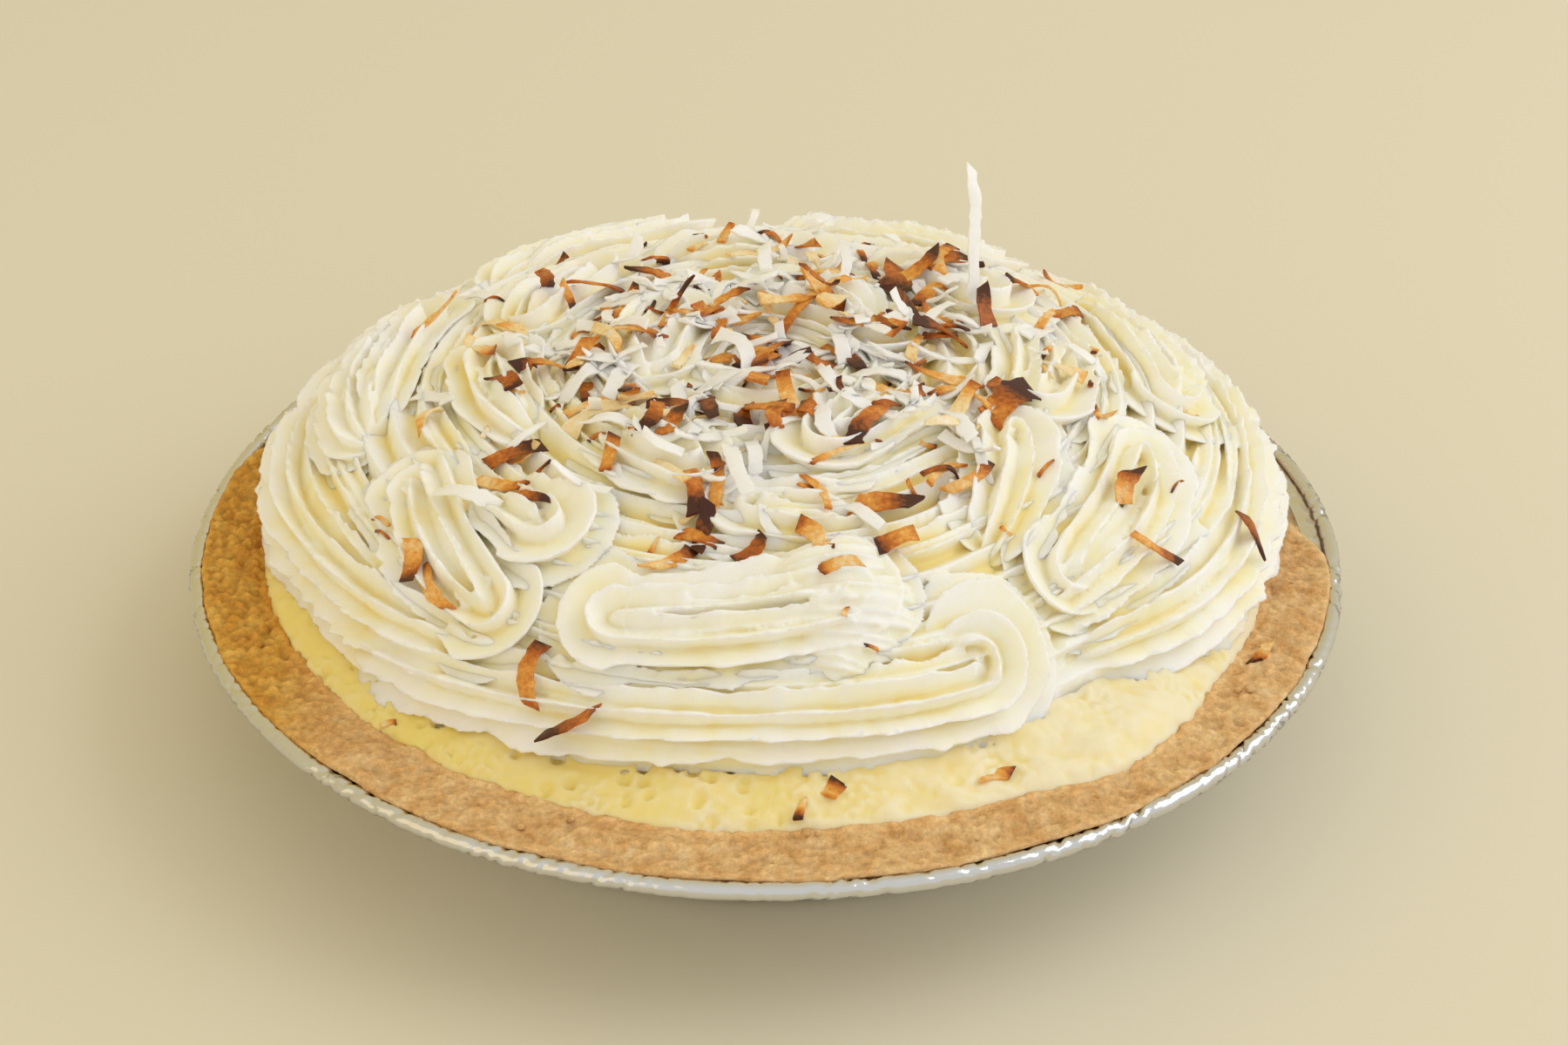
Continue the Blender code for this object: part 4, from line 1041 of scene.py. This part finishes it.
def keep_large_bodies(piece):
    """Drops loose scraps and sealed hollows: large closed shells that face outwards stay."""
    builder = bmesh.new()
    builder.from_mesh(piece.data)
    unseen = set(builder.faces)
    while unseen:
        stack = [unseen.pop()]
        shell = []
        while stack:
            face = stack.pop()
            shell.append(face)
            for edge in face.edges:
                for other in edge.link_faces:
                    if other in unseen:
                        unseen.remove(other)
                        stack.append(other)
        volume = sum(face.calc_center_median().dot(face.normal) * face.calc_area()
                     for face in shell) / 3.0
        if volume < SMALLEST_BODY * MM ** 3:
            bmesh.ops.delete(builder, geom=shell, context="FACES")
    builder.to_mesh(piece.data)
    builder.free()


def support_level(x, y):
    """Level of the custard or crust below a point, where the cream comes to rest."""
    radius = math.hypot(x, y)
    azimuth = math.degrees(math.atan2(x, -y))
    inner = crust_inner_radius(azimuth)
    if radius < inner:
        return custard_level(radius / inner, azimuth) - 0.4
    share = (radius - inner) / (crust_outer_radius(azimuth) - inner)
    return crust_rim_level(azimuth, min(share, 1.0)) + 0.1


def settle(mesh):
    """Moves what lies below the custard or the crust up to it."""
    points = mesh_points(mesh)
    low = np.flatnonzero(points[:, 2] < CUSTARD_EDGE_LEVEL + CUSTARD_RISE + 1.5)
    for index in low:
        x, y, level = points[index]
        points[index, 2] = max(level, support_level(x, y))
    mesh.vertices.foreach_set("co", (points * MM).astype(np.float32).ravel())
    mesh.update()


def cream_material(settings):
    """Dairy cream, whipped stiff and piped through a star nozzle.

    It gives the eye an ivory white that light sinks into, with a soft sheen, and fine torn marks
    across the crests. Its colour holds painted shade, a warmer yellow, in the channels, the
    creases and deep between the ropes, and a painted highlight, a purer white, on the crests.
    """
    material, tree = new_material("whipped_dairy_cream")
    where = add_node(tree, "ShaderNodeTexCoord").outputs["Object"]
    cavity = add_node(tree, "ShaderNodeAttribute", attribute_name="cavity").outputs["Fac"]
    depth = add_node(tree, "ShaderNodeAttribute", attribute_name="depth").outputs["Fac"]
    patch = add_node(tree, "ShaderNodeTexNoise",
                     {"Vector": where, "Scale": per_mm(16.0), "Detail": 3.0}).outputs["Fac"]
    # Painted shade and highlight: darker and warmer where the surface lies below its surroundings,
    # whiter on the crests
    painted_cavity_shade = add_node(tree, "ShaderNodeMapRange",
                      {"Value": cavity, "From Min": -1.0, "From Max": 1.5,
                       "To Min": 0.30, "To Max": -0.36}).outputs["Result"]
    # Painted shade: darker and warmer the deeper the surface lies below the dome, between the ropes
    deep = add_node(tree, "ShaderNodeMapRange",
                    {"Value": depth, "From Min": 2.5, "From Max": 8.0,
                     "To Min": 0.06, "To Max": -0.26}).outputs["Result"]
    painted_light_and_shade = add_node(tree, "ShaderNodeMath", {0: painted_cavity_shade, 1: deep}, operation="ADD")
    shade = add_node(tree, "ShaderNodeMath",
                     {0: painted_light_and_shade.outputs["Value"], 1: patch}, operation="ADD")
    # Colour from the painted crease shade, through the cream's own body colour, to the painted crest
    # highlight
    white = add_node(tree, "ShaderNodeValToRGB", {"Fac": shade.outputs["Value"]},
                     stops=((0.12, settings.painted_crease_shade), (0.50, settings.body),
                            (0.85, settings.crest)))
    tears = add_node(tree, "ShaderNodeTexNoise",
                     {"Vector": where, "Scale": per_mm(1.6), "Detail": 4.0, "Roughness": 0.6})
    foam = add_node(tree, "ShaderNodeTexNoise",
                    {"Vector": where, "Scale": per_mm(0.8), "Detail": 3.0, "Roughness": 0.6})
    crest = add_node(tree, "ShaderNodeMapRange",
                     {"Value": cavity, "From Min": 0.0, "From Max": -1.2,
                      "To Min": 0.10, "To Max": 0.55})
    torn = add_node(tree, "ShaderNodeBump",
                    {"Height": tears.outputs["Fac"], "Strength": crest.outputs["Result"],
                     "Distance": 0.5 * MM})
    relief = add_node(tree, "ShaderNodeBump",
                      {"Height": foam.outputs["Fac"], "Strength": 0.18, "Distance": 0.2 * MM,
                       "Normal": torn.outputs["Normal"]})
    shader = add_node(tree, "ShaderNodeBsdfPrincipled",
                      {"Base Color": white.outputs["Color"], "Roughness": 0.42, "IOR": 1.44,
                       "Normal": relief.outputs["Normal"],
                       "Subsurface Weight": settings.softness,
                       "Subsurface Radius": (1.0, 0.84, 0.5), "Subsurface Scale": 1.7 * MM})
    add_node(tree, "ShaderNodeOutputMaterial", {"Surface": shader.outputs["BSDF"]})
    return material


def cream_piece(name, ropes, triangles, material):
    """Joins ropes, and the core if it is one of them, into one skin of about so many triangles."""
    cream = linked(name, tube_mesh(name, ropes))
    skin = cream.modifiers.new("Join ropes", "REMESH")
    skin.mode = "VOXEL"
    skin.voxel_size = VOXEL * MM
    applied(cream)
    thin = cream.modifiers.new("Thin", "DECIMATE")
    thin.ratio = min(1.0, triangles / (2 * len(cream.data.polygons)))
    thin.use_collapse_triangulate = True
    applied(cream)
    keep_large_bodies(cream)
    settle(cream.data)
    mark_cavity(cream.data, rounds=10)
    points = mesh_points(cream.data)
    # Depth below the dome, read by the material as painted shade between the ropes, fading out
    # towards the foot
    above_foot = np.clip((points[:, 2] - CREAM_FOOT) / FOOT_FADE, 0.0, 1.0)
    set_values(cream.data, "depth", dome_depth(points) * above_foot)
    finish_piece(cream, material, "cream", "whipped_cream")


class CreamSettings(PropertyGroup):
    # Painted highlight: a purer white on the crests for the light they catch
    crest: FloatVectorProperty(
        name="Crests", description="Colour of the thin crests", subtype="COLOR", size=4,
        min=0.0, max=1.0, default=linear("#FEFDFA"))
    body: FloatVectorProperty(
        name="Body", description="Colour of the smooth channels", subtype="COLOR", size=4,
        min=0.0, max=1.0, default=linear("#FDF7E4"))
    # Painted shade: a warm yellow for the shade and bounce light deep in the creases and between the
    # ropes
    painted_crease_shade: FloatVectorProperty(
        name="Creases", description="Colour deep between the ropes", subtype="COLOR", size=4,
        min=0.0, max=1.0, default=linear("#FBE69E"))
    softness: FloatProperty(
        name="Softness", description="Share of light that wanders inside the cream",
        default=0.65, min=0.0, max=1.0)
    tearing: FloatProperty(
        name="Tearing", description="Height of the teeth along the crests, in millimetres",
        default=1.0, min=0.0, max=1.5)
    triangles: IntProperty(
        name="Triangles", description="About how many triangles each piece of cream keeps",
        default=185000, min=20000, max=195000)


class PIE_OT_cream(Operator):
    """Pipes the cream: ropes along the foot, ovals over the dome and a smear at the front"""
    bl_idname = "pie.cream"
    bl_label = "Whipped cream"

    def execute(self, context):
        settings = context.scene.pie_cream
        material = cream_material(settings)
        skirts = [core_skin()]
        for number, (knots, curl) in enumerate(SKIRTS):
            path = skirt_path(knots, curl)
            torn = RIGHT_SKIRT_TEARING if path[0][0] > 0.0 else SKIRT_TEARING
            skirts.append(rope_skin(path, 0.0, number, settings.tearing * torn))
        for number, distance in enumerate(UNDERLAY, UNDERLAY_SEED):
            path = [(direction(azimuth) * distance).xy for azimuth in range(0, 365, 3)]
            skirts.append(rope_skin(path, UNDERLAY_LIFT, number, settings.tearing))
        ovals = []
        for number, (*shape, roll, lift) in enumerate(OVALS, len(SKIRTS)):
            torn = RIGHT_OVAL_TEARING if 20.0 < shape[0] < 110.0 else OVAL_TEARING
            ovals.append(rope_skin(oval_path(*shape), lift, number, torn * settings.tearing, roll))
        outer = ovals[:OUTER_OVALS]
        for number, (first, last, half_width, lift) in enumerate(FLAPS, FLAP_SEED):
            outer.append(rope_skin((first, last), lift, number, FLAP_TEARING * settings.tearing,
                                   FLAP_ROLL, FLAP_FLUTE_DEPTH, half_width))
        cream_piece("cream_skirt", skirts, settings.triangles, material)
        cream_piece("cream_outer_ovals", outer, settings.triangles, material)
        cream_piece("cream_inner_ovals", ovals[OUTER_OVALS:], settings.triangles, material)
        return {"FINISHED"}


# Coconut

def toasted_material():
    """Coconut, grated into wide shreds and toasted in a dry pan.

    It gives the eye every shade from cream by golden tan to nearly black, darker at the ends,
    with a faint oily gloss.
    """
    material, tree = new_material("toasted_coconut_shreds")
    where = add_node(tree, "ShaderNodeTexCoord").outputs["Object"]
    toast = add_node(tree, "ShaderNodeAttribute", attribute_name="toast")
    fibre = add_node(tree, "ShaderNodeTexNoise",
                     {"Vector": where, "Scale": per_mm(1.2), "Detail": 4.0, "Roughness": 0.65})
    uneven = add_node(tree, "ShaderNodeMapRange",
                      {"Value": fibre.outputs["Fac"], "From Min": 0.3, "From Max": 0.7,
                       "To Min": -0.12, "To Max": 0.12})
    shade = add_node(tree, "ShaderNodeMath",
                     {0: toast.outputs["Fac"], 1: uneven.outputs["Result"]}, operation="ADD")
    brown = add_node(tree, "ShaderNodeValToRGB", {"Fac": shade.outputs["Value"]},
                     stops=((0.05, linear("#F8F0DC")), (0.28, linear("#F4D9A2")),
                            (0.48, linear("#EAA84A")), (0.72, linear("#BC6414")),
                            (0.98, linear("#481E0A"))))
    relief = add_node(tree, "ShaderNodeBump",
                      {"Height": fibre.outputs["Fac"], "Strength": 0.4, "Distance": 0.2 * MM})
    shader = add_node(tree, "ShaderNodeBsdfPrincipled",
                      {"Base Color": brown.outputs["Color"], "Roughness": 0.5, "IOR": 1.46,
                       "Normal": relief.outputs["Normal"], "Subsurface Weight": 0.3,
                       "Subsurface Radius": (1.0, 0.5, 0.2), "Subsurface Scale": 0.8 * MM})
    add_node(tree, "ShaderNodeOutputMaterial", {"Surface": shader.outputs["BSDF"]})
    return material


def white_coconut_material():
    """Coconut, grated into wide shreds and left white.

    It gives the eye a moist, waxy white that light shines through at the thin edges.
    """
    material, tree = new_material("white_coconut_shreds")
    where = add_node(tree, "ShaderNodeTexCoord").outputs["Object"]
    fibre = add_node(tree, "ShaderNodeTexNoise",
                     {"Vector": where, "Scale": per_mm(1.5), "Detail": 4.0, "Roughness": 0.65})
    white = add_node(tree, "ShaderNodeValToRGB", {"Fac": fibre.outputs["Fac"]},
                     stops=((0.30, linear("#F7F6F4")), (0.50, linear("#FCFCFC")),
                            (0.70, linear("#FFFFFF"))))
    relief = add_node(tree, "ShaderNodeBump",
                      {"Height": fibre.outputs["Fac"], "Strength": 0.3, "Distance": 0.2 * MM})
    shader = add_node(tree, "ShaderNodeBsdfPrincipled",
                      {"Base Color": white.outputs["Color"], "Roughness": 0.36, "IOR": 1.46,
                       "Normal": relief.outputs["Normal"], "Subsurface Weight": 0.85,
                       "Subsurface Radius": (1.0, 1.0, 0.95), "Subsurface Scale": 1.0 * MM})
    add_node(tree, "ShaderNodeOutputMaterial", {"Surface": shader.outputs["BSDF"]})
    return material


def flake_list():
    """Large flakes in their places, then the same seeded scatter as on the solid."""
    draw = random.Random(FLAKE_SEED)
    shades = random.Random(FLAKE_SEED + 1)
    flakes = []
    for *row, toast in LARGE_FLAKES:
        flakes.append((*row, draw.uniform(0.02, 0.12), draw.uniform(-0.8, 0.8), toast))
    for _ in range(SCATTERED_FLAKES):
        radius = abs(draw.gauss(FLAKE_MEAN_RADIUS, FLAKE_SPREAD))
        place = direction(draw.uniform(0.0, 360.0)) * min(radius, FLAKE_REACH)
        flakes.append((
            place.x, place.y, draw.uniform(8.0, 14.0), draw.uniform(2.2, 4.2),
            draw.uniform(0.0, 360.0), draw.uniform(0.0, 30.0), draw.uniform(0.0, 0.12),
            draw.uniform(-1.0, 1.0), shades.choice(TOASTS),
        ))
    return flakes


def strewn_shreds(counts):
    """Shreds heaped between the large flakes, whiter and wider in the heap, and small bits."""
    draw = random.Random(FLAKE_SEED + 2)
    shreds = []
    for count, (mean, spread, longest, widest, toasts) in zip(counts, STREWN):
        for _ in range(count):
            radius = abs(draw.gauss(mean, spread))
            place = direction(draw.uniform(0.0, 360.0)) * min(radius, HEAP_REACH)
            shreds.append((
                place.x, place.y + HEAP_SHIFT, draw.uniform(0.45, 1.0) * longest,
                draw.uniform(0.4, 1.0) * widest, draw.uniform(0.0, 360.0),
                draw.uniform(-6.0, 34.0), draw.uniform(-0.22, 0.25), draw.uniform(-1.3, 1.3),
                draw.choice(toasts) if toasts else 0.0,
            ))
    return shreds


def shred_skin(length, width, curve, twist, draw):
    """A ragged curved strip along X (rows, round it, 3), and its share of the length."""
    rows = 6 + round(length / 1.2)
    shares = np.linspace(-0.5, 0.5, rows)
    around = (np.arange(8) + 0.5) * math.tau / 8.0
    flat = np.sign(np.cos(around)) * np.abs(np.cos(around)) ** 0.35
    steep = np.sign(np.sin(around)) * np.abs(np.sin(around)) ** 0.35
    lattice = np.array([[draw.uniform(-1.0, 1.0) for _ in range(20)] for _ in range(5)])
    ragged = line_noise((shares + 0.5) * length / 1.2, lattice)
    drift = line_noise((shares + 0.5) * length / 5.0, lattice[3:])
    # How much one end narrows: mostly little, now and then to a point
    point = draw.choice((0.0, 0.0, 0.1, 0.25, 0.6))
    narrowing = 1.0 - min(point, 3.0 / length) * (shares + 0.5)
    half = 0.5 * width * narrowing * (1.0 + 0.10 * ragged[0])
    cup = draw.uniform(-0.12, 0.22) * half
    bow = draw.uniform(-0.16, 0.16) * min(length, 14.0)
    across = flat[None] * half[:, None] * (1.0 + 0.12 * ragged[1])[:, None]
    across = across + (0.14 * drift[0] * width)[:, None]
    above = 0.5 * SHRED_THICKNESS * steep[None] + cup[:, None] * flat[None] ** 2
    above = above + 0.14 * ragged[2][:, None] * flat[None]
    roll = (twist * shares + 0.25 * drift[1])[:, None]
    side = across * np.cos(roll) - above * np.sin(roll)
    up = across * np.sin(roll) + above * np.cos(roll)
    middle = -curve * length * (shares ** 2 * 4.0 - 0.35)
    slant = draw.uniform(-0.45, 0.45) * width * flat[None] * (2.0 * shares[:, None]) ** 4
    along = (shares * length)[:, None] + slant
    sideways = side + (bow * 4.0 * (0.25 - shares ** 2))[:, None]
    return np.stack([along, sideways, up + middle[:, None]], axis=-1), shares


def resting_place(surface, x, y, along, reach):
    """Where the middle of a shred lies when it rests on the highest point below it."""
    levels = []
    for share in (-0.4, 0.0, 0.4):
        step = along * (share * reach)
        level = level_below(surface, x + step.x, y + step.y)
        if level is not None:
            levels.append(level - step.z)
    return Vector((x, y, max(levels)))


def draped(points, surface):
    """Tilts a shred, (rows, round it, 3), so that it lies on the ridges that it crosses."""
    buried = []
    for x, y, middle in points.mean(axis=1):
        level = level_below(surface, x, y)
        depth = 0.0 if level is None else max(0.0, level - DRAPE_SINK - middle)
        buried.append(min(MOST_RAISED, depth))
    half = len(buried) // 2
    raised = points.copy()
    raised[..., 2] += np.linspace(max(buried[:half]), max(buried[half:]), len(buried))[:, None]
    return raised


def lay_shreds(rows, surface, seed):
    """Lays each shred on the surface: its tube, how brown each row of it is, and its toast."""
    draw = random.Random(seed)
    laid = []
    for x, y, length, width, heading, lean, curve, twist, toast in rows:
        _, normals = on_dome([(x, y)])
        on_cream = math.hypot(x, y) < 0.95 * cream_edge_radius(math.degrees(math.atan2(x, -y)))
        normal = Vector(normals[0]) if on_cream else Vector((0.0, 0.0, 1.0))
        turn = math.radians(heading)
        along = Vector((math.cos(turn), math.sin(turn), 0.0))
        along = (along - normal * along.dot(normal)).normalized()
        lift = math.radians(lean)
        lifted = along * math.cos(lift) + normal * math.sin(lift)
        side = normal.cross(along).normalized()
        axes = np.array([lifted, side, lifted.cross(side).normalized()])
        foot = resting_place(surface, x, y, along, length * math.cos(lift))
        foot += lifted * (0.5 * length * math.sin(lift)) - normal * FLAKE_SINK
        skin, shares = shred_skin(length, width, curve, twist, draw)
        points = draped(np.array(foot) + skin @ axes, surface)
        browner = draw.choice((-0.7, -0.5, -0.2, 0.2, 0.5, 0.7))
        shade = toast + (0.3 * np.abs(2.0 * shares) ** 3 + browner * shares) * min(1.0, 2 * toast)
        laid.append((points, shade, toast))
    return laid


def coconut_piece(name, laid, material):
    """One piece from laid shreds, with how brown each vertex is."""
    mesh = tube_mesh(name, [points for points, _, _ in laid])
    shades = []
    for points, shade, _ in laid:
        rows = np.concatenate([shade[:1], shade, shade[-1:]])
        shades.append(np.repeat(rows, points.shape[1]))
    set_values(mesh, "toast", np.concatenate(shades))
    finish_piece(linked(name, mesh), material, "cream", "whipped_cream")
    mesh.set_sharp_from_angle(angle=math.radians(38.0))


class CoconutSettings(PropertyGroup):
    white: IntProperty(
        name="White shreds", description="How many white shreds lie among the large flakes",
        default=118, min=0, max=400)
    toasted: IntProperty(
        name="Toasted shreds", description="How many smaller toasted shreds lie between them",
        default=80, min=0, max=400)
    bits: IntProperty(
        name="Bits", description="How many broken bits lie round about",
        default=90, min=0, max=400)


class PIE_OT_coconut(Operator):
    """Strews white and toasted coconut over the cream"""
    bl_idname = "pie.coconut"
    bl_label = "Coconut"

    def execute(self, context):
        settings = context.scene.pie_coconut
        surface = surface_of("cream_skirt", "cream_outer_ovals", "cream_inner_ovals",
                             "custard_pitted", "pastry_crust_flaky")
        flecks = [(*row, 0.0, 0.4, toast) for *row, toast in CUSTARD_FLECKS]
        strewn = strewn_shreds((settings.white, settings.toasted, settings.bits))
        laid = lay_shreds(flake_list() + flecks + strewn, surface, FLAKE_SEED + 3)
        white = [entry for entry in laid if entry[2] < TOASTED_FROM]
        brown = [entry for entry in laid if entry[2] >= TOASTED_FROM]
        coconut_piece("coconut_white", white, white_coconut_material())
        coconut_piece("coconut_toasted", brown, toasted_material())
        return {"FINISHED"}


# Crumbs

def crumb_skin(size, draw):
    """An irregular lump of the given radius, as a tube with closed ends."""
    levels = np.linspace(-0.92, 0.92, 6)
    around = np.arange(9) * math.tau / 9.0
    lumps = np.array([[draw.uniform(0.65, 1.15) for _ in around] for _ in levels])
    ring = np.sqrt(1.0 - levels ** 2)[:, None] * lumps * size
    return np.stack([ring * np.cos(around), ring * np.sin(around),
                     np.broadcast_to(levels[:, None] * size * 0.75, ring.shape)], axis=-1)


class PIE_OT_crumbs(Operator):
    """Strews pastry crumbs along the rim"""
    bl_idname = "pie.crumbs"
    bl_label = "Pastry crumbs"

    def execute(self, context):
        draw = random.Random(CRUMB_SEED)
        surface = surface_of("pastry_crust_flaky")
        grids = []
        for _ in range(CRUMBS):
            azimuth = draw.uniform(0.0, 360.0)
            radius = draw.uniform(*CRUMB_BAND)
            size = draw.choice(CRUMB_SIZES)
            place = direction(azimuth) * radius
            level = level_below(surface, place.x, place.y)
            if level is not None:
                grids.append(crumb_skin(size, draw)
                             + np.array((place.x, place.y, level + 0.4 * size)))
        crumbs = linked("pastry_crumbs", tube_mesh("pastry_crumbs", grids))
        pastry = bpy.data.objects["pastry_crust_flaky"].data.materials[0]
        finish_piece(crumbs, pastry, "pastry")
        return {"FINISHED"}


# Stage

class StageSettings(PropertyGroup):
    key_power: FloatProperty(
        name="Key light", description="Power of the large soft light on the right",
        default=4.0, min=0.0, max=200.0, unit="POWER")
    fill_power: FloatProperty(
        name="Fill light", description="Power of the weaker light on the left",
        default=1.2, min=0.0, max=200.0, unit="POWER")
    surroundings: FloatProperty(
        name="Surroundings", description="Brightness of the pale room", default=0.80,
        min=0.0, max=3.0)


def area_light(name, place, size, power, code):
    """A square soft light aimed at the pie."""
    lamp = bpy.data.lights.new(name, "AREA")
    lamp.size = size
    lamp.energy = power
    lamp.color = linear(code)[:3]
    light = linked(name, lamp)
    light.location = place
    light.rotation_euler = (-Vector(place)).to_track_quat("-Z", "Y").to_euler()


def pale_floor():
    """A wide matte board below the pie."""
    corners = [(x * FLOOR_REACH, y * FLOOR_REACH, 0.0)
               for x, y in ((-1, -1), (1, -1), (1, 1), (-1, 1))]
    mesh = bpy.data.meshes.new("pale_floor")
    mesh.from_pydata(corners, [], [(0, 1, 2, 3)])
    material, tree = new_material("painted_studio_board")
    shader = add_node(tree, "ShaderNodeBsdfPrincipled",
                      {"Base Color": linear("#E4DCC6"), "Roughness": 0.7})
    add_node(tree, "ShaderNodeOutputMaterial", {"Surface": shader.outputs["BSDF"]})
    mesh.materials.append(material)
    linked("pale_floor", mesh)


def pale_room(brightness):
    """Surroundings that light the pie from all sides, warmer from behind on the left."""
    world = bpy.data.worlds.new("pale_room")
    world.use_nodes = True
    tree = world.node_tree
    tree.nodes.clear()
    toward = add_node(tree, "ShaderNodeTexCoord").outputs["Generated"]
    aside = add_node(tree, "ShaderNodeVectorMath", {0: toward, 1: WARM_SIDE},
                     operation="DOT_PRODUCT")
    behind = add_node(tree, "ShaderNodeMapRange",
                      {"Value": aside.outputs["Value"], "From Min": -0.5, "From Max": 0.9})
    tint = add_node(tree, "ShaderNodeMix",
                    {"Factor": behind.outputs["Result"], "A": linear("#FDFBF4"),
                     "B": linear("#F0DC96")}, data_type="RGBA")
    room = add_node(tree, "ShaderNodeBackground",
                    {"Color": tint.outputs["Result"], "Strength": brightness})
    add_node(tree, "ShaderNodeOutputWorld", {"Surface": room.outputs["Background"]})
    return world


def photo_camera():
    """The camera at the photograph's viewing angle."""
    lens = bpy.data.cameras.new("photo_view")
    lens.lens = FOCAL_LENGTH
    lens.sensor_width = FILM_WIDTH
    lens.clip_start = 0.01
    camera = linked("photo_view", lens)
    camera.matrix_world = (Matrix.Translation(CAMERA_PLACE)
                           @ Matrix.Rotation(math.radians(90.0 - CAMERA_PITCH), 4, "X")
                           @ Matrix.Rotation(math.radians(CAMERA_ROLL), 4, "Z"))
    return camera


class PIE_OT_stage(Operator):
    """Sets the pale floor, the soft lights, the surroundings and the camera"""
    bl_idname = "pie.stage"
    bl_label = "Stage"

    def execute(self, context):
        scene = context.scene
        settings = scene.pie_stage
        pale_floor()
        area_light("soft_key", KEY_PLACE, 0.9, settings.key_power, "#F3F8FF")
        area_light("soft_fill", FILL_PLACE, 1.0, settings.fill_power, "#FFDA8C")
        scene.world = pale_room(settings.surroundings)
        scene.view_settings.view_transform = "Standard"
        scene.camera = photo_camera()
        return {"FINISHED"}


# Settings on the scene, and the operator that uses them, in the order of building
PIECES = (
    ("pie_foil_pan", FoilPanSettings, PIE_OT_foil_pan),
    ("pie_crust", CrustSettings, PIE_OT_crust),
    ("pie_custard", CustardSettings, PIE_OT_custard),
    ("pie_cream", CreamSettings, PIE_OT_cream),
    ("pie_coconut", CoconutSettings, PIE_OT_coconut),
    ("pie_crumbs", None, PIE_OT_crumbs),
    ("pie_stage", StageSettings, PIE_OT_stage),
)


class PIE_PT_panel(Panel):
    """Lists the pieces of the pie"""
    bl_idname = "PIE_PT_panel"
    bl_label = "Coconut cream pie"
    bl_space_type = "VIEW_3D"
    bl_region_type = "UI"
    bl_category = "Pie"

    def draw(self, context):
        for name, group, operator in PIECES:
            box = self.layout.box()
            box.operator(operator.bl_idname)
            if group:
                for key in group.__annotations__:
                    box.prop(getattr(context.scene, name), key)


def register():
    for name, group, operator in PIECES:
        if group:
            bpy.utils.register_class(group)
            setattr(bpy.types.Scene, name, PointerProperty(type=group))
        bpy.utils.register_class(operator)
    bpy.utils.register_class(PIE_PT_panel)


def unregister():
    bpy.utils.unregister_class(PIE_PT_panel)
    for name, group, operator in reversed(PIECES):
        bpy.utils.unregister_class(operator)
        if group:
            delattr(bpy.types.Scene, name)
            bpy.utils.unregister_class(group)


def main():
    register()
    bpy.ops.pie.foil_pan()
    bpy.ops.pie.crust()
    bpy.ops.pie.custard()
    bpy.ops.pie.cream()
    bpy.ops.pie.coconut()
    bpy.ops.pie.crumbs()
    bpy.ops.pie.stage()


if __name__ == "__main__":
    main()
